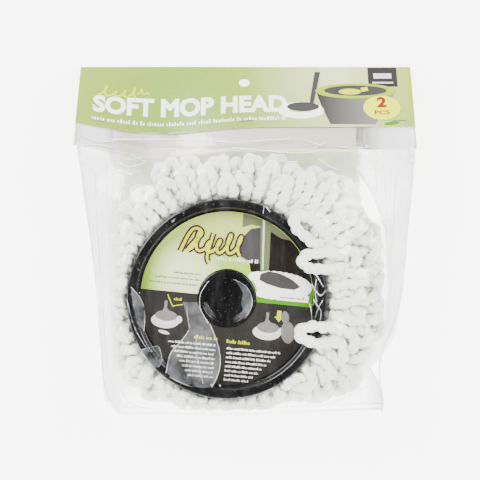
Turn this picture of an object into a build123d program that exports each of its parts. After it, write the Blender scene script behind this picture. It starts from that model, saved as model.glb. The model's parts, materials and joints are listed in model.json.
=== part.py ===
from build123d import *

# Retail pack of two round spin mop refill heads, lying on its back.
#
# A clear side-gusset bag holds two microfibre mop heads, strand side to strand side. A printed header
# card is folded over the bag's mouth and stapled through it, and has a hang hole. Each mop head is a
# black moulded disc with a raised rim and a central cup, a binding tape, a clamp ring, rivets and a
# fringe of twisted microfibre loops. A round instruction card lies loose in the front disc.
#
# Frame: millimetres, +Z out of the front face, +Y towards the header card, origin on the surface that
# the pack lies on, under the middle of its bounding box.

import os
from math import cos, radians, sin

os.makedirs("parts", exist_ok=True)

# Header card, folded along its top edge
CARD_WIDTH = 240.0
CARD_FRONT = 52.0  # height of the printed front panel
CARD_BACK = 70.0  # the plain back panel hangs lower
BOARD = 0.45
CARD_GAP = 0.9  # between the two panels
CARD_THICKNESS = 2 * BOARD + CARD_GAP
CARD_TILT = 28.6  # degrees; the fold rests on the surface and the stapled edge is raised
CARD_TOP_Y = 126.3
CARD_TOP_Z = 1.4
HANG_HOLE_RADIUS = 4.0
HANG_HOLE_X = -0.9
HANG_HOLE_DROP = 13.7

# Staples through both panels and the bag
STAPLE_X = (-105.5, 0.8, 108.9)
STAPLE_TURN = (-9.0, 3.0, 2.0)  # degrees; each was driven a little askew
STAPLE_DROP = 47.5
STAPLE_CROWN = 9.6
WIRE_RADIUS = 0.25
WIRE_BEND = 0.3
WIRE_LIFT = 0.02  # wire clear of the board
CLINCH_SLOPE = 0.5
CLINCH_GAP = 1.2  # between the two turned-in ends
LEG_HOLE_RADIUS = 0.32

# Bag film, thicker than the real 0.05 mm so that it can be meshed
FILM = 0.25
TOP_LEVEL = 56.6  # film level over the mop heads
EDGE_FRONT = 32.0  # where the front film meets the side gussets
EDGE_BACK = 19.0
GUSSET_FOLD = 25.6
PANEL_START = 56.0  # y where the front film leaves the neck
BACK_START = 45.0
BAG_END = -122.0
BAG_BOTTOM = -126.0
MOUTH_OVERLAP = 12.0  # how far the bag's mouth goes up inside the card
SEAM = 0.2  # between neighbouring pieces of film

# Mop head, from the axis outwards; heights are above the underside of the disc's floor
RIM_RADIUS = 68.7
PAN_RADIUS = 62.3
WALL = 1.6
FLOOR = 1.8
RIM_TOP = 12.2
RIM_ROUND = 1.6
SNAP_BEAD = 0.6
BEAD_DROP = 3.0
SKIRT_BOTTOM = 1.5
CUP_RADIUS = 17.0
CUP_FLOOR_RADIUS = 15.0
CUP_DEPTH = 9.0
CUP_WALL = 1.2
LIP_RADIUS = 19.8
LIP_TOP = 3.8
EDGE_BREAK = 0.5
RIVET_CIRCLE = 44.0
RIVET_COUNT = 12
RIVET_RADIUS = 1.5
RIVET_HEAD_RADIUS = 2.6
RIVET_HEAD = 1.0
SLOT_CIRCLE = 34.0
SLOT_LENGTH = 15.0
SLOT_WIDTH = 3.0
FIT_GAP = 0.05
CLAMP_INNER = 36.0
CLAMP_OUTER = 64.0
CLAMP_LOW = -5.2
CLAMP_HIGH = -3.6
TAPE_LOW = -1.7
TAPE_HIGH = -0.1
THROUGH = 20.0  # longer than any wall that is drilled

# Strands
STRANDS_LOW = -12.6  # where the strands of the two heads meet
STRANDS_HIGH = 11.0
BED_TOP = -6.6
TONGUE_START = 50.0  # strands are held between the clamp ring and the tape from here out
TONGUE_HIGH = -1.8
TONGUE_LOW = -3.5
RIM_CLEARANCE = 0.7
BUNDLES = 12
BUNDLE_GAP = 0.5  # degrees between neighbouring bundles
FRINGE_ROUND = 5.0
FRINGE_SLOPE = 12.0

# Placing of the two heads
FRONT_AXIS = (-13.0, -40.4)
REAR_AXIS = (0.0, -34.0)
FRONT_FLOOR_Z = 38.8
REAR_FLOOR_Z = 12.55

# Reach of each fringe from its own axis: left, right, top, bottom
FRONT_REACH = (80.0, 106.0, 98.0, 77.0)
REAR_REACH = (90.0, 98.0, 80.0, 84.0)
REACH_POWER = 2.8  # 2 is an ellipse, larger is squarer

# Instruction card, loose in the front disc
INSERT_RADIUS = 60.2
INSERT_HOLE = 20.4
INSERT_BOARD = 0.4
INSERT_LIFT = 0.3

# Loops of strand that lie over the front rim: centre x, y, length, width, turn in degrees
STRAY_LOOPS = {
    "front_stray_loop_upper": (41.5, 9.5, 32.0, 15.5, -42.0),
    "front_stray_loop_middle": (49.0, -14.8, 30.0, 16.5, 0.0),
    "front_stray_loop_lower": (46.5, -64.5, 29.0, 18.0, -4.0),
}
LOOP_LOW = 51.3
LOOP_HIGH = 56.2
LOOP_SLIT = 2.0

TILT = radians(CARD_TILT)
CARD_PLANE = Plane(
    origin=(0, CARD_TOP_Y, CARD_TOP_Z),
    x_dir=(1, 0, 0),
    z_dir=(0, sin(TILT), cos(TILT)),
)


def on_card(down, depth):
    """World y and z of a point on the card: down from its fold, and depth below its front face."""
    y = CARD_TOP_Y - down * cos(TILT) - depth * sin(TILT)
    z = CARD_TOP_Z + down * sin(TILT) - depth * cos(TILT)
    return y, z


def polygon(points):
    return Face(Wire.make_polygon(points, close=True))


def tube(outer, inner, low, high):
    """A flat ring about the Z axis."""
    ring = Circle(outer) - Circle(inner)
    return Pos(0, 0, low) * extrude(ring, high - low)


def disc_between(radius, low, high):
    return Pos(0, 0, low) * extrude(Circle(radius), high - low)


# ---- header card and staples


def staple_legs(radius):
    """A straight cylinder for each staple leg, in the card's own plane."""
    legs = []
    for x, turn in zip(STAPLE_X, STAPLE_TURN):
        for side in (-STAPLE_CROWN / 2, STAPLE_CROWN / 2):
            place = Pos(x, -STAPLE_DROP, 0) * Rot(0, 0, turn) * Pos(side, 0, 0)
            legs.append(place * Cylinder(radius, THROUGH))
    return legs


def header_card():
    """One board, folded over: front panel, rounded fold and longer back panel."""
    bend = CARD_THICKNESS / 2
    front = Pos(-(CARD_FRONT + bend) / 2, -BOARD / 2) * Rectangle(CARD_FRONT - bend, BOARD)
    back_depth = CARD_THICKNESS - BOARD / 2
    back = Pos(-(CARD_BACK + bend) / 2, -back_depth) * Rectangle(CARD_BACK - bend, BOARD)
    ring = Pos(-bend, -bend) * (Circle(bend) - Circle(bend - BOARD))
    fold = ring & (Pos(-bend / 2, -bend) * Rectangle(bend, CARD_THICKNESS))
    side_view = Plane(origin=(-CARD_WIDTH / 2, 0, 0), x_dir=(0, 1, 0), z_dir=(1, 0, 0))
    card = extrude(side_view * (front + back + fold), CARD_WIDTH)
    card -= Pos(HANG_HOLE_X, -HANG_HOLE_DROP, 0) * Cylinder(HANG_HOLE_RADIUS, THROUGH)
    card -= staple_legs(LEG_HOLE_RADIUS)
    return CARD_PLANE * card


def staples():
    """Three wire staples, clinched flat behind the back panel."""
    top = WIRE_RADIUS + WIRE_LIFT
    bottom = -CARD_THICKNESS - WIRE_RADIUS - WIRE_LIFT
    half = STAPLE_CROWN / 2
    path = FilletPolyline(
        (-CLINCH_GAP / 2, 0, bottom - CLINCH_SLOPE),
        (-half, 0, bottom),
        (-half, 0, top),
        (half, 0, top),
        (half, 0, bottom),
        (CLINCH_GAP / 2, 0, bottom - CLINCH_SLOPE),
        radius=WIRE_BEND,
    )
    start = Plane(origin=path @ 0, z_dir=path % 0)
    wire = sweep(start * Circle(WIRE_RADIUS), path)
    places = [Pos(x, -STAPLE_DROP, 0) * Rot(0, 0, turn) for x, turn in zip(STAPLE_X, STAPLE_TURN)]
    return CARD_PLANE * Part([place * wire for place in places])


def bag_mouth():
    """The bag's layers pressed flat between the card's two panels."""
    down = CARD_FRONT - MOUTH_OVERLAP / 2
    plate = Box(CARD_WIDTH - 2, MOUTH_OVERLAP, CARD_GAP - 2 * FIT_GAP)
    plate = Pos(0, -down, -CARD_THICKNESS / 2) * plate
    plate -= staple_legs(LEG_HOLE_RADIUS)
    return CARD_PLANE * plate


# ---- bag


def film_sheet(stations):
    """A sheet of film lofted through stations.

    Each station is y, left x, right x, level, edge level, and how far in from each side edge the film
    reaches its level.
    """
    sections = []
    for y, left, right, level, edge, slope_left, slope_right in stations:
        upper = [(left, edge), (left + slope_left, level), (right - slope_right, level), (right, edge)]
        lower = [(x, z - FILM) for x, z in reversed(upper)]
        sections.append(polygon([(x, y, z) for x, z in upper + lower]))
    return loft(sections, ruled=True)


def bag_front_film():
    return film_sheet(
        (
            (PANEL_START, -117.0, 118.2, 47.5, 33.0, 20.0, 20.0),
            (36.0, -114.6, 117.2, TOP_LEVEL, EDGE_FRONT, 27.0, 27.0),
            (-35.0, -105.8, 111.0, TOP_LEVEL, EDGE_FRONT, 17.0, 20.0),
            (-66.0, -103.0, 105.5, TOP_LEVEL, EDGE_FRONT, 15.0, 22.0),
            (-90.0, -101.2, 98.0, TOP_LEVEL, EDGE_FRONT, 16.0, 26.0),
            (-118.0, -100.0, 98.0, 52.0, EDGE_FRONT, 18.0, 26.0),
            (BAG_END, -100.0, 98.0, 46.0, EDGE_FRONT, 18.0, 26.0),
        )
    )


def bag_back_film():
    return film_sheet(
        (
            (BACK_START, -115.6, 117.4, FILM, EDGE_BACK, 17.0, 17.0),
            (-35.0, -105.8, 111.0, FILM, EDGE_BACK, 9.0, 9.0),
            (-66.0, -103.0, 105.5, FILM, EDGE_BACK, 9.0, 7.0),
            (-90.0, -101.2, 98.0, FILM, EDGE_BACK, 9.0, 9.0),
            (BAG_END, -100.0, 98.0, FILM, EDGE_BACK, 12.0, 12.0),
        )
    )


def bag_neck():
    """The film between the mop heads and the header card, front and back."""
    inside_front = BOARD + 0.1
    inside_back = CARD_THICKNESS - BOARD - 0.1 - FILM
    y_front, z_front = on_card(CARD_FRONT + SEAM, inside_front)
    y_over, z_over = on_card(CARD_BACK, inside_front)
    y_back, z_back = on_card(CARD_FRONT + SEAM, inside_back)
    y_turn, z_turn = on_card(CARD_BACK + 1, inside_back)
    front = film_sheet(
        (
            (y_front, -119.0, 119.0, z_front, z_front, 20.0, 20.0),
            (y_over, -117.6, 118.6, z_over + 4, z_over, 20.0, 20.0),
            (PANEL_START + SEAM, -117.0, 118.2, 47.5, 33.0, 20.0, 20.0),
        )
    )
    back = film_sheet(
        (
            (y_back, -119.0, 119.0, z_back, z_back, 17.0, 17.0),
            (y_turn, -117.6, 118.6, z_turn, z_turn, 17.0, 17.0),
            (BACK_START + SEAM, -115.8, 117.6, FILM, EDGE_BACK, 17.0, 17.0),
        )
    )
    return Part([front, back])


def gusset(stations, outward):
    """A side panel folded inwards. Each station is y, the x of its two edges, and the x of its fold."""
    edge_high = EDGE_FRONT - 2 * FILM
    edge_low = EDGE_BACK + 2 * FILM
    fold_width = 4 * FILM
    sections = []
    for y, edge, fold in stations:
        outside = [(edge, edge_high), (fold, GUSSET_FOLD), (edge, edge_low)]
        inside = [
            (edge, edge_low + FILM),
            (fold + outward * fold_width, GUSSET_FOLD),
            (edge, edge_high - FILM),
        ]
        sections.append(polygon([(x, y, z) for x, z in outside + inside]))
    return loft(sections, ruled=True)


def bag_gusset_left():
    return gusset(
        (
            (BACK_START, -115.6, -95.0),
            (-35.0, -105.6, -94.0),
            (-90.0, -101.0, -92.0),
            (BAG_END + 2, -99.8, -91.0),
        ),
        -1,
    )


def bag_gusset_right():
    return gusset(
        (
            (BACK_START, 117.2, 100.5),
            (-35.0, 110.8, 101.5),
            (-66.0, 105.3, 100.0),
            (-90.0, 97.8, 92.5),
            (BAG_END + 2, 97.8, 88.0),
        ),
        1,
    )


def bag_bottom():
    """The end of the bag, drawn together to its flat weld strip."""
    near = BAG_END - SEAM
    weld_start = BAG_BOTTOM + 3.5
    weld_level = 15.0
    outline = (
        (near, 46.0),
        (weld_start, weld_level + FILM),
        (BAG_BOTTOM, weld_level + FILM),
        (BAG_BOTTOM, weld_level - FILM),
        (weld_start, weld_level - FILM),
        (near - FILM, 0.0),
        (near, 0.0),
        (weld_start + FILM, weld_level),
        (near, 46.0 - 4 * FILM),
    )
    profile = polygon([(-97.0, y, z) for y, z in outline])
    return extrude(profile, 192.0, dir=(1, 0, 0))


# ---- mop head


def rivet_holes():
    places = PolarLocations(RIVET_CIRCLE, RIVET_COUNT)
    return [place * Cylinder(RIVET_RADIUS + FIT_GAP, THROUGH) for place in places]


def drain_slots():
    """Radial slots in the disc's floor, one between each pair of rivets."""
    step = 360 / RIVET_COUNT
    slot = Pos(SLOT_CIRCLE, 0, -THROUGH / 2) * extrude(SlotOverall(SLOT_LENGTH, SLOT_WIDTH), THROUGH)
    return [Rot(0, 0, (i + 0.5) * step) * slot for i in range(RIVET_COUNT)]


def disc():
    """Moulded disc: pan floor, hollow raised rim with a snap bead, and central cup."""
    bead = RIM_TOP - BEAD_DROP
    outline = (
        (0, -CUP_DEPTH - WALL),
        (CUP_FLOOR_RADIUS + CUP_WALL, -CUP_DEPTH - WALL),
        (CUP_RADIUS + CUP_WALL, 0),
        (PAN_RADIUS + WALL, 0),
        (PAN_RADIUS + WALL, RIM_TOP - WALL),
        (RIM_RADIUS - WALL, RIM_TOP - WALL),
        (RIM_RADIUS - WALL, SKIRT_BOTTOM),
        (RIM_RADIUS, SKIRT_BOTTOM),
        (RIM_RADIUS, RIM_TOP - RIM_ROUND),
        (RIM_RADIUS - EDGE_BREAK, RIM_TOP - EDGE_BREAK),
        (RIM_RADIUS - RIM_ROUND, RIM_TOP),
        (PAN_RADIUS + RIM_ROUND, RIM_TOP),
        (PAN_RADIUS + EDGE_BREAK, RIM_TOP - EDGE_BREAK),
        (PAN_RADIUS, RIM_TOP - RIM_ROUND),
        (PAN_RADIUS, bead + SNAP_BEAD),
        (PAN_RADIUS - SNAP_BEAD, bead),
        (PAN_RADIUS, bead - SNAP_BEAD),
        (PAN_RADIUS, FLOOR),
        (LIP_RADIUS, FLOOR),
        (LIP_RADIUS, LIP_TOP - EDGE_BREAK),
        (LIP_RADIUS - EDGE_BREAK, LIP_TOP),
        (CUP_RADIUS + EDGE_BREAK, LIP_TOP),
        (CUP_RADIUS, LIP_TOP - EDGE_BREAK),
        (CUP_FLOOR_RADIUS, -CUP_DEPTH),
        (0, -CUP_DEPTH),
    )
    body = revolve(polygon([(r, 0, z) for r, z in outline]), Axis.Z)
    return body - rivet_holes() - drain_slots()


def clamp_ring():
    return tube(CLAMP_OUTER, CLAMP_INNER, CLAMP_LOW, CLAMP_HIGH) - rivet_holes()


def binding_tape():
    return tube(CLAMP_OUTER - 1, CLAMP_INNER + 1, TAPE_LOW, TAPE_HIGH) - rivet_holes()


def rivets():
    """Plastic rivets, each headed under the clamp ring and just below the face of the disc's floor."""
    head_top = CLAMP_LOW - FIT_GAP
    rivet = disc_between(RIVET_RADIUS, head_top, FLOOR - FIT_GAP)
    rivet += disc_between(RIVET_HEAD_RADIUS, head_top - RIVET_HEAD, head_top)
    return Part([place * rivet for place in PolarLocations(RIVET_CIRCLE, RIVET_COUNT)])


def inner_strands():
    """The bed of strands under the clamp ring, out to where the fringe begins."""
    return tube(CLAMP_OUTER, LIP_RADIUS, STRANDS_LOW, BED_TOP)


def insert_card():
    low = FLOOR + INSERT_LIFT
    return tube(INSERT_RADIUS, INSERT_HOLE, low, low + INSERT_BOARD)


def reach(angle, extents):
    """How far the fringe comes from its axis at an angle: a squared oval, different on each side."""
    left, right, top, bottom = extents
    across = right if cos(angle) > 0 else left
    along = top if sin(angle) > 0 else bottom
    total = abs(cos(angle) / across) ** REACH_POWER + abs(sin(angle) / along) ** REACH_POWER
    return total ** (-1 / REACH_POWER)


def bundle(number, axis, floor_z, extents, up):
    """One sector of a fringe: a thin tongue clamped under the disc, and loose strands outside it."""
    step = 360 / BUNDLES
    outside = CLAMP_OUTER + 1
    beside_rim = RIM_RADIUS + RIM_CLEARANCE
    under_skirt = SKIRT_BOTTOM - 0.3
    sections = []
    for share in (0, 0.5, 1):
        angle = radians(number * step + BUNDLE_GAP / 2 + share * (step - BUNDLE_GAP))
        far = reach(angle, extents)
        outline = (
            (TONGUE_START, TONGUE_LOW),
            (outside, TONGUE_LOW),
            (outside, STRANDS_LOW),
            (far - FRINGE_ROUND, STRANDS_LOW),
            (far, STRANDS_LOW + FRINGE_ROUND),
            (far, 0),
            (max(far - FRINGE_SLOPE, beside_rim + 1), STRANDS_HIGH),
            (beside_rim, STRANDS_HIGH),
            (beside_rim, under_skirt),
            (outside, under_skirt),
            (outside, TONGUE_HIGH),
            (TONGUE_START, TONGUE_HIGH),
        )
        points = [(axis[0] + r * cos(angle), axis[1] + r * sin(angle), floor_z + up * z) for r, z in outline]
        sections.append(polygon(points))
    return loft(sections, ruled=True)


def stray_loop(x, y, length, width, turn):
    """A flattened loop of strand with a narrow slit inside it."""
    slit = SlotOverall(length - width + 3 * LOOP_SLIT, LOOP_SLIT)
    loop = extrude(SlotOverall(length, width) - slit, LOOP_HIGH - LOOP_LOW)
    return Pos(x, y, LOOP_LOW) * (Rot(0, 0, turn) * loop)


# ---- the assembly

parts = {
    "header_card": header_card(),
    "staples": staples(),
    "bag_mouth": bag_mouth(),
    "bag_neck": bag_neck(),
    "bag_front_film": bag_front_film(),
    "bag_back_film": bag_back_film(),
    "bag_gusset_left": bag_gusset_left(),
    "bag_gusset_right": bag_gusset_right(),
    "bag_bottom": bag_bottom(),
}

front_place = Pos(FRONT_AXIS[0], FRONT_AXIS[1], FRONT_FLOOR_Z)
rear_place = Pos(REAR_AXIS[0], REAR_AXIS[1], REAR_FLOOR_Z) * Rot(180, 0, 0)
parts["insert_card"] = front_place * insert_card()
for head, place in (("front", front_place), ("rear", rear_place)):
    parts[head + "_disc"] = place * disc()
    parts[head + "_clamp_ring"] = place * clamp_ring()
    parts[head + "_binding_tape"] = place * binding_tape()
    parts[head + "_rivets"] = place * rivets()
    parts[head + "_inner_strands"] = place * inner_strands()
for number in range(BUNDLES):
    label = f"{number + 1:02d}"
    parts["front_bundle_" + label] = bundle(number, FRONT_AXIS, FRONT_FLOOR_Z, FRONT_REACH, 1)
    parts["rear_bundle_" + label] = bundle(number, REAR_AXIS, REAR_FLOOR_Z, REAR_REACH, -1)
for name, place in STRAY_LOOPS.items():
    parts[name] = stray_loop(*place)

for name, shape in parts.items():
    export_step(shape, f"parts/{name}.step")
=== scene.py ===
import json
import math

import bmesh
import bpy
import numpy as np
from mathutils import Matrix, Vector


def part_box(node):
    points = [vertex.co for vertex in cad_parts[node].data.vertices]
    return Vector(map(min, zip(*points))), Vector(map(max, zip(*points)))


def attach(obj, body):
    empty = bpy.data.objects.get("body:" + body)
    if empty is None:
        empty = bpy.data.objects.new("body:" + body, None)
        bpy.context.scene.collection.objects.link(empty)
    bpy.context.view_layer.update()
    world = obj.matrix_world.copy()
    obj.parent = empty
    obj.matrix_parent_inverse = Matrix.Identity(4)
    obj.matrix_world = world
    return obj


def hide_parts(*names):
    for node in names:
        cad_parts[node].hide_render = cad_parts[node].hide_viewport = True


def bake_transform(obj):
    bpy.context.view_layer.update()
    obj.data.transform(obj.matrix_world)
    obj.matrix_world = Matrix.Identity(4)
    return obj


# A clear hang bag of two spin mop heads, lying on its back under soft studio light.
# Lengths are metres unless a name ends in _MM or _mm. The two heads lie strand side to strand side.

MM = 0.001
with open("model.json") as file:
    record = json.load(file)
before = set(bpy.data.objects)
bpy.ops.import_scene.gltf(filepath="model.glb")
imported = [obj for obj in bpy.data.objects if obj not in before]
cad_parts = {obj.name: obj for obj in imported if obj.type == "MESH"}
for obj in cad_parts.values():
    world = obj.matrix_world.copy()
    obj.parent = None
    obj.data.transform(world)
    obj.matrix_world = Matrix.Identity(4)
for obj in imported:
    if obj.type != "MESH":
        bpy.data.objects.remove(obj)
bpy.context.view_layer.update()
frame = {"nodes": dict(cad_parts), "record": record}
nodes = frame["nodes"]


# ---- places read from the frame


def middle(node):
    low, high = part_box(node)
    return (low + high) / 2


def half_width(node):
    low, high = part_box(node)
    return (high.x - low.x) / 2


FRONT_AXIS = middle("front_disc")
REAR_AXIS = middle("rear_disc")
RIM = half_width("front_disc")
RIM_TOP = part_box("front_disc")[1].z
INSERT_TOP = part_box("insert_card")[1].z
INSERT_RADIUS = half_width("insert_card")
CARD_WIDTH = 2 * half_width("header_card")

# Heights in a head, above the underside of its disc's floor, and radii, in millimetres
RIM_MM = RIM / MM
PAN_MM = 62.3
RIM_TOP_MM = 12.2
CORD_MM = 7.6
FRONT_FLOOR = RIM_TOP - RIM_TOP_MM * MM
REAR_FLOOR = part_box("rear_disc")[0].z + RIM_TOP_MM * MM
STRANDS_LOW_MM = -12.6


# ---- small helpers


def mesh_object(name, mesh):
    made = bpy.data.objects.new(name, mesh)
    bpy.context.scene.collection.objects.link(made)
    return made


def from_bmesh(name, shape, smooth=True):
    mesh = bpy.data.meshes.new(name)
    shape.to_mesh(mesh)
    shape.free()
    mesh.polygons.foreach_set("use_smooth", [smooth] * len(mesh.polygons))
    return mesh_object(name, mesh)


def applied(piece):
    """The same piece with its modifiers, text or curve turned into a plain mesh."""
    depsgraph = bpy.context.evaluated_depsgraph_get()
    mesh = bpy.data.meshes.new_from_object(piece.evaluated_get(depsgraph))
    name, parts = piece.name, list(piece.data.materials)
    bpy.data.objects.remove(piece)
    made = mesh_object(name, mesh)
    if not mesh.materials:
        for part in parts:
            mesh.materials.append(part)
    return made


def wear(piece, material):
    piece.data.materials.clear()
    piece.data.materials.append(material)


# ---- shader maths


class Link:
    """A shader socket that works in Python expressions; each operation adds its Math node."""

    def __init__(self, finish, socket):
        self.finish = finish
        self.socket = socket

    def math(self, operation, *others):
        return self.finish.add("ShaderNodeMath", {"operation": operation}, dict(enumerate((self, *others))))

    def __add__(self, other):
        return self.math("ADD", other)

    def __sub__(self, other):
        return self.math("SUBTRACT", other)

    def __rsub__(self, other):
        return self.finish.add("ShaderNodeMath", {"operation": "SUBTRACT"}, {0: other, 1: self})

    def __mul__(self, other):
        return self.math("MULTIPLY", other)

    def __truediv__(self, other):
        return self.math("DIVIDE", other)

    def __gt__(self, other):
        return self.math("GREATER_THAN", other)

    def clamp(self):
        return self.finish.add("ShaderNodeClamp", {}, {0: self})

    __radd__ = __add__
    __rmul__ = __mul__


class Finish:
    """A material being built up from nodes."""

    def __init__(self, name):
        self.material = bpy.data.materials.new(name)
        self.material.use_nodes = True
        self.tree = self.material.node_tree
        self.tree.nodes.clear()

    def add(self, kind, settings=None, inputs=None, out=0):
        node = self.tree.nodes.new(kind)
        for name, value in (settings or {}).items():
            if name == "stops":
                self.set_stops(node.color_ramp, value)
            else:
                setattr(node, name, value)
        for name, value in (inputs or {}).items():
            if isinstance(value, Link):
                self.tree.links.new(value.socket, node.inputs[name])
            else:
                node.inputs[name].default_value = value
        return Link(self, node.outputs[out]) if node.outputs else None

    @staticmethod
    def set_stops(ramp, stops):
        while len(ramp.elements) < len(stops):
            ramp.elements.new(0.5)
        for element, (place, colour) in zip(ramp.elements, stops):
            element.position = place
            element.color = colour

    def place(self):
        return self.add("ShaderNodeTexCoord", out=3)

    def uv(self):
        return self.add("ShaderNodeUVMap")

    def parts(self, vector):
        node = self.add("ShaderNodeSeparateXYZ", {}, {0: vector}).socket.node
        return [Link(self, output) for output in node.outputs]

    def noise(self, where, scale, detail=2.0, roughness=0.5):
        inputs = {"Vector": where, "Scale": scale, "Detail": detail, "Roughness": roughness}
        return self.add("ShaderNodeTexNoise", {}, inputs)

    def stretch(self, where, scale):
        return self.add("ShaderNodeMapping", {}, {"Vector": where, "Scale": scale})

    def mix(self, share, first, second):
        return self.add(
            "ShaderNodeMix", {"data_type": "RGBA"}, {0: share, 6: first, 7: second}, out=2
        )

    def bump(self, height, depth, strength=1.0):
        return self.add("ShaderNodeBump", {}, {"Height": height, "Distance": depth, "Strength": strength})

    def shader(self, **inputs):
        named = {name.replace("_", " "): value for name, value in inputs.items()}
        return self.add("ShaderNodeBsdfPrincipled", {}, named)

    def done(self, surface):
        self.add("ShaderNodeOutputMaterial", {}, {"Surface": surface})
        return self.material


def rgb(red, green, blue):
    """A colour from 8-bit screen values, as linear light."""

    def linear(value):
        value /= 255
        return value / 12.92 if value <= 0.04045 else ((value + 0.055) / 1.055) ** 2.4

    return (linear(red), linear(green), linear(blue), 1.0)


# ---- fringe: hairpin loops of cord, packed by a small position-based solver

FRONT_REACH_MM = (83.0, 109.0, 101.0, 78.5)  # left, right, top, bottom from the head's own axis
REAR_REACH_MM = (93.0, 101.0, 86.0, 85.0)
REACH_POWER = 3.5
TIER_REACH = (1.02, 0.97, 0.80)
ROOT_MM = 63.0
STEP_MM = 4.2
PLY_RADIUS_MM = 2.6
PLY_OFFSET_MM = 1.5
SECTION_MM = 1.2
LAYERS_MM = (-8.0, -0.5, 8.0)
FLOOR_CORDS_MM = -1.8  # the highest that a cord may run under the disc


def reach(angle, extents):
    """How far a fringe comes from its axis, for an array of angles, in millimetres."""
    left, right, top, bottom = extents
    across = np.where(np.cos(angle) > 0, right, left)
    along = np.where(np.sin(angle) > 0, top, bottom)
    total = np.abs(np.cos(angle) / across) ** REACH_POWER + np.abs(np.sin(angle) / along) ** REACH_POWER
    return total ** (-1 / REACH_POWER)


def fringe_loops(extents, layers, per_layer, seed):
    """Starting hairpins: each goes out from the clamp, round its tip and back. Returns the points of each
    loop.
    """
    random = np.random.default_rng(seed)
    loops = []
    for layer, height in enumerate(layers):
        for i in range(per_layer):
            angle = 2 * math.pi * (i + 0.5 * (layer % 2) + random.uniform(-0.25, 0.25)) / per_layer
            far = float(reach(np.array([angle]), extents)[0])
            share = TIER_REACH[layer] * random.uniform(0.92, 1.0)
            tip = RIM_MM + max(9.0, share * (far - RIM_MM)) - CORD_MM / 2
            spare = random.uniform(1.05, 1.28)
            length = (tip - ROOT_MM) * spare
            count = max(5, int(round(length / STEP_MM)))
            out = np.linspace(0, 1, count)
            half = random.uniform(3.6, 4.4)
            lean = random.uniform(-0.22, 0.22)
            bow = random.uniform(-5, 5)
            radii = ROOT_MM + out * (tip - ROOT_MM) * (1 + 0.25 * (spare - 1))
            radii = np.concatenate([radii, [radii[-1] + 2.5], radii[::-1]])
            along = np.concatenate([out, [1.0], out[::-1]])
            sides = np.concatenate([-np.ones(count), [0.0], np.ones(count)]) * half
            sides = sides * (0.45 + 0.75 * np.sin(along * math.pi * 0.6))
            sides += bow * np.sin(along * math.pi) + lean * (radii - ROOT_MM)
            rise = -2.6 + (height + 2.6) * np.clip(along * 2.2, 0, 1) + random.uniform(-1.2, 1.2)
            unit = np.array([math.cos(angle), math.sin(angle)])
            across = np.array([-unit[1], unit[0]])
            points = np.zeros((len(radii), 3))
            points[:, :2] = radii[:, None] * unit + sides[:, None] * across
            points[:, 2] = rise
            points += random.normal(0, 0.35, points.shape)
            loops.append(points)
    return loops


def keep_in(points, extents, top):
    """Moves points back into the space that the fringe has: its outline, its height, and outside the disc."""
    radius = np.hypot(points[:, 0], points[:, 1])
    angle = np.arctan2(points[:, 1], points[:, 0])
    limit = reach(angle, extents) - CORD_MM / 2
    over = radius > limit
    points[over, :2] *= (limit[over] / radius[over])[:, None]
    radius = np.minimum(radius, limit)
    drop = np.clip((radius - (limit - 11)) / 11, 0, 1) ** 2 * 7.5
    high = top - drop
    points[:, 2] = np.clip(points[:, 2], STRANDS_LOW_MM + CORD_MM / 2, high)
    beside = RIM_MM + CORD_MM / 2 - 0.3
    inside = (radius < beside) & (points[:, 2] > FLOOR_CORDS_MM)
    shallow = (points[:, 2] - FLOOR_CORDS_MM) < (beside - radius)
    points[inside & shallow, 2] = FLOOR_CORDS_MM
    push = inside & ~shallow
    points[push, :2] *= (beside / np.maximum(radius[push], 1))[:, None]


def settle(loops, extents, top, rounds):
    """Packs the loops: cords keep their length and stay a cord's width apart."""
    counts = np.array([len(loop) for loop in loops])
    points = np.concatenate(loops)
    owner = np.repeat(np.arange(len(loops)), counts)
    order = np.concatenate([np.arange(count) for count in counts])
    starts = np.concatenate([[0], np.cumsum(counts)[:-1]])
    ends = starts + counts - 1
    fixed = np.zeros(len(points), bool)
    fixed[starts] = fixed[ends] = True
    rooted = points.copy()
    joined = np.flatnonzero(owner[1:] == owner[:-1])
    middles = joined[:-1][owner[joined[:-1]] == owner[joined[:-1] + 2]] + 1
    weight = 1.0 - fixed
    near_a = near_b = np.zeros(0, int)
    for step in range(rounds):
        if step % 6 == 0:
            squared = (points**2).sum(1)
            gap = squared[:, None] + squared[None, :] - 2 * points @ points.T
            near_a, near_b = np.nonzero(np.triu(gap < (CORD_MM + 2.5) ** 2, 1))
            apart = (owner[near_a] != owner[near_b]) | (np.abs(order[near_a] - order[near_b]) > 2)
            near_a, near_b = near_a[apart], near_b[apart]
        delta = points[near_b] - points[near_a]
        distance = np.sqrt((delta**2).sum(1)) + 1e-6
        close = distance < CORD_MM
        first, second = near_a[close], near_b[close]
        shove = delta[close] * (0.5 * (CORD_MM - distance[close]) / distance[close])[:, None] * 0.7
        moves = np.zeros_like(points)
        hits = np.ones(len(points))
        np.add.at(moves, first, -shove)
        np.add.at(moves, second, shove)
        np.add.at(hits, first, 0.35)
        np.add.at(hits, second, 0.35)
        points += moves / hits[:, None] * 1.4
        for _ in range(2):
            for parity in (0, 1):
                pick = joined[order[joined] % 2 == parity]
                delta = points[pick + 1] - points[pick]
                distance = np.sqrt((delta**2).sum(1)) + 1e-6
                pull = delta * ((distance - STEP_MM) / distance)[:, None]
                share = weight[pick] + weight[pick + 1] + 1e-6
                points[pick] += pull * (weight[pick] / share)[:, None]
                points[pick + 1] -= pull * (weight[pick + 1] / share)[:, None]
        straight = (points[middles - 1] + points[middles + 1]) / 2 - points[middles]
        points[middles] += 0.12 * straight
        keep_in(points, extents, top)
        points[fixed] = rooted[fixed]
    return [points[start : end + 1] for start, end in zip(starts, ends)]


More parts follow.
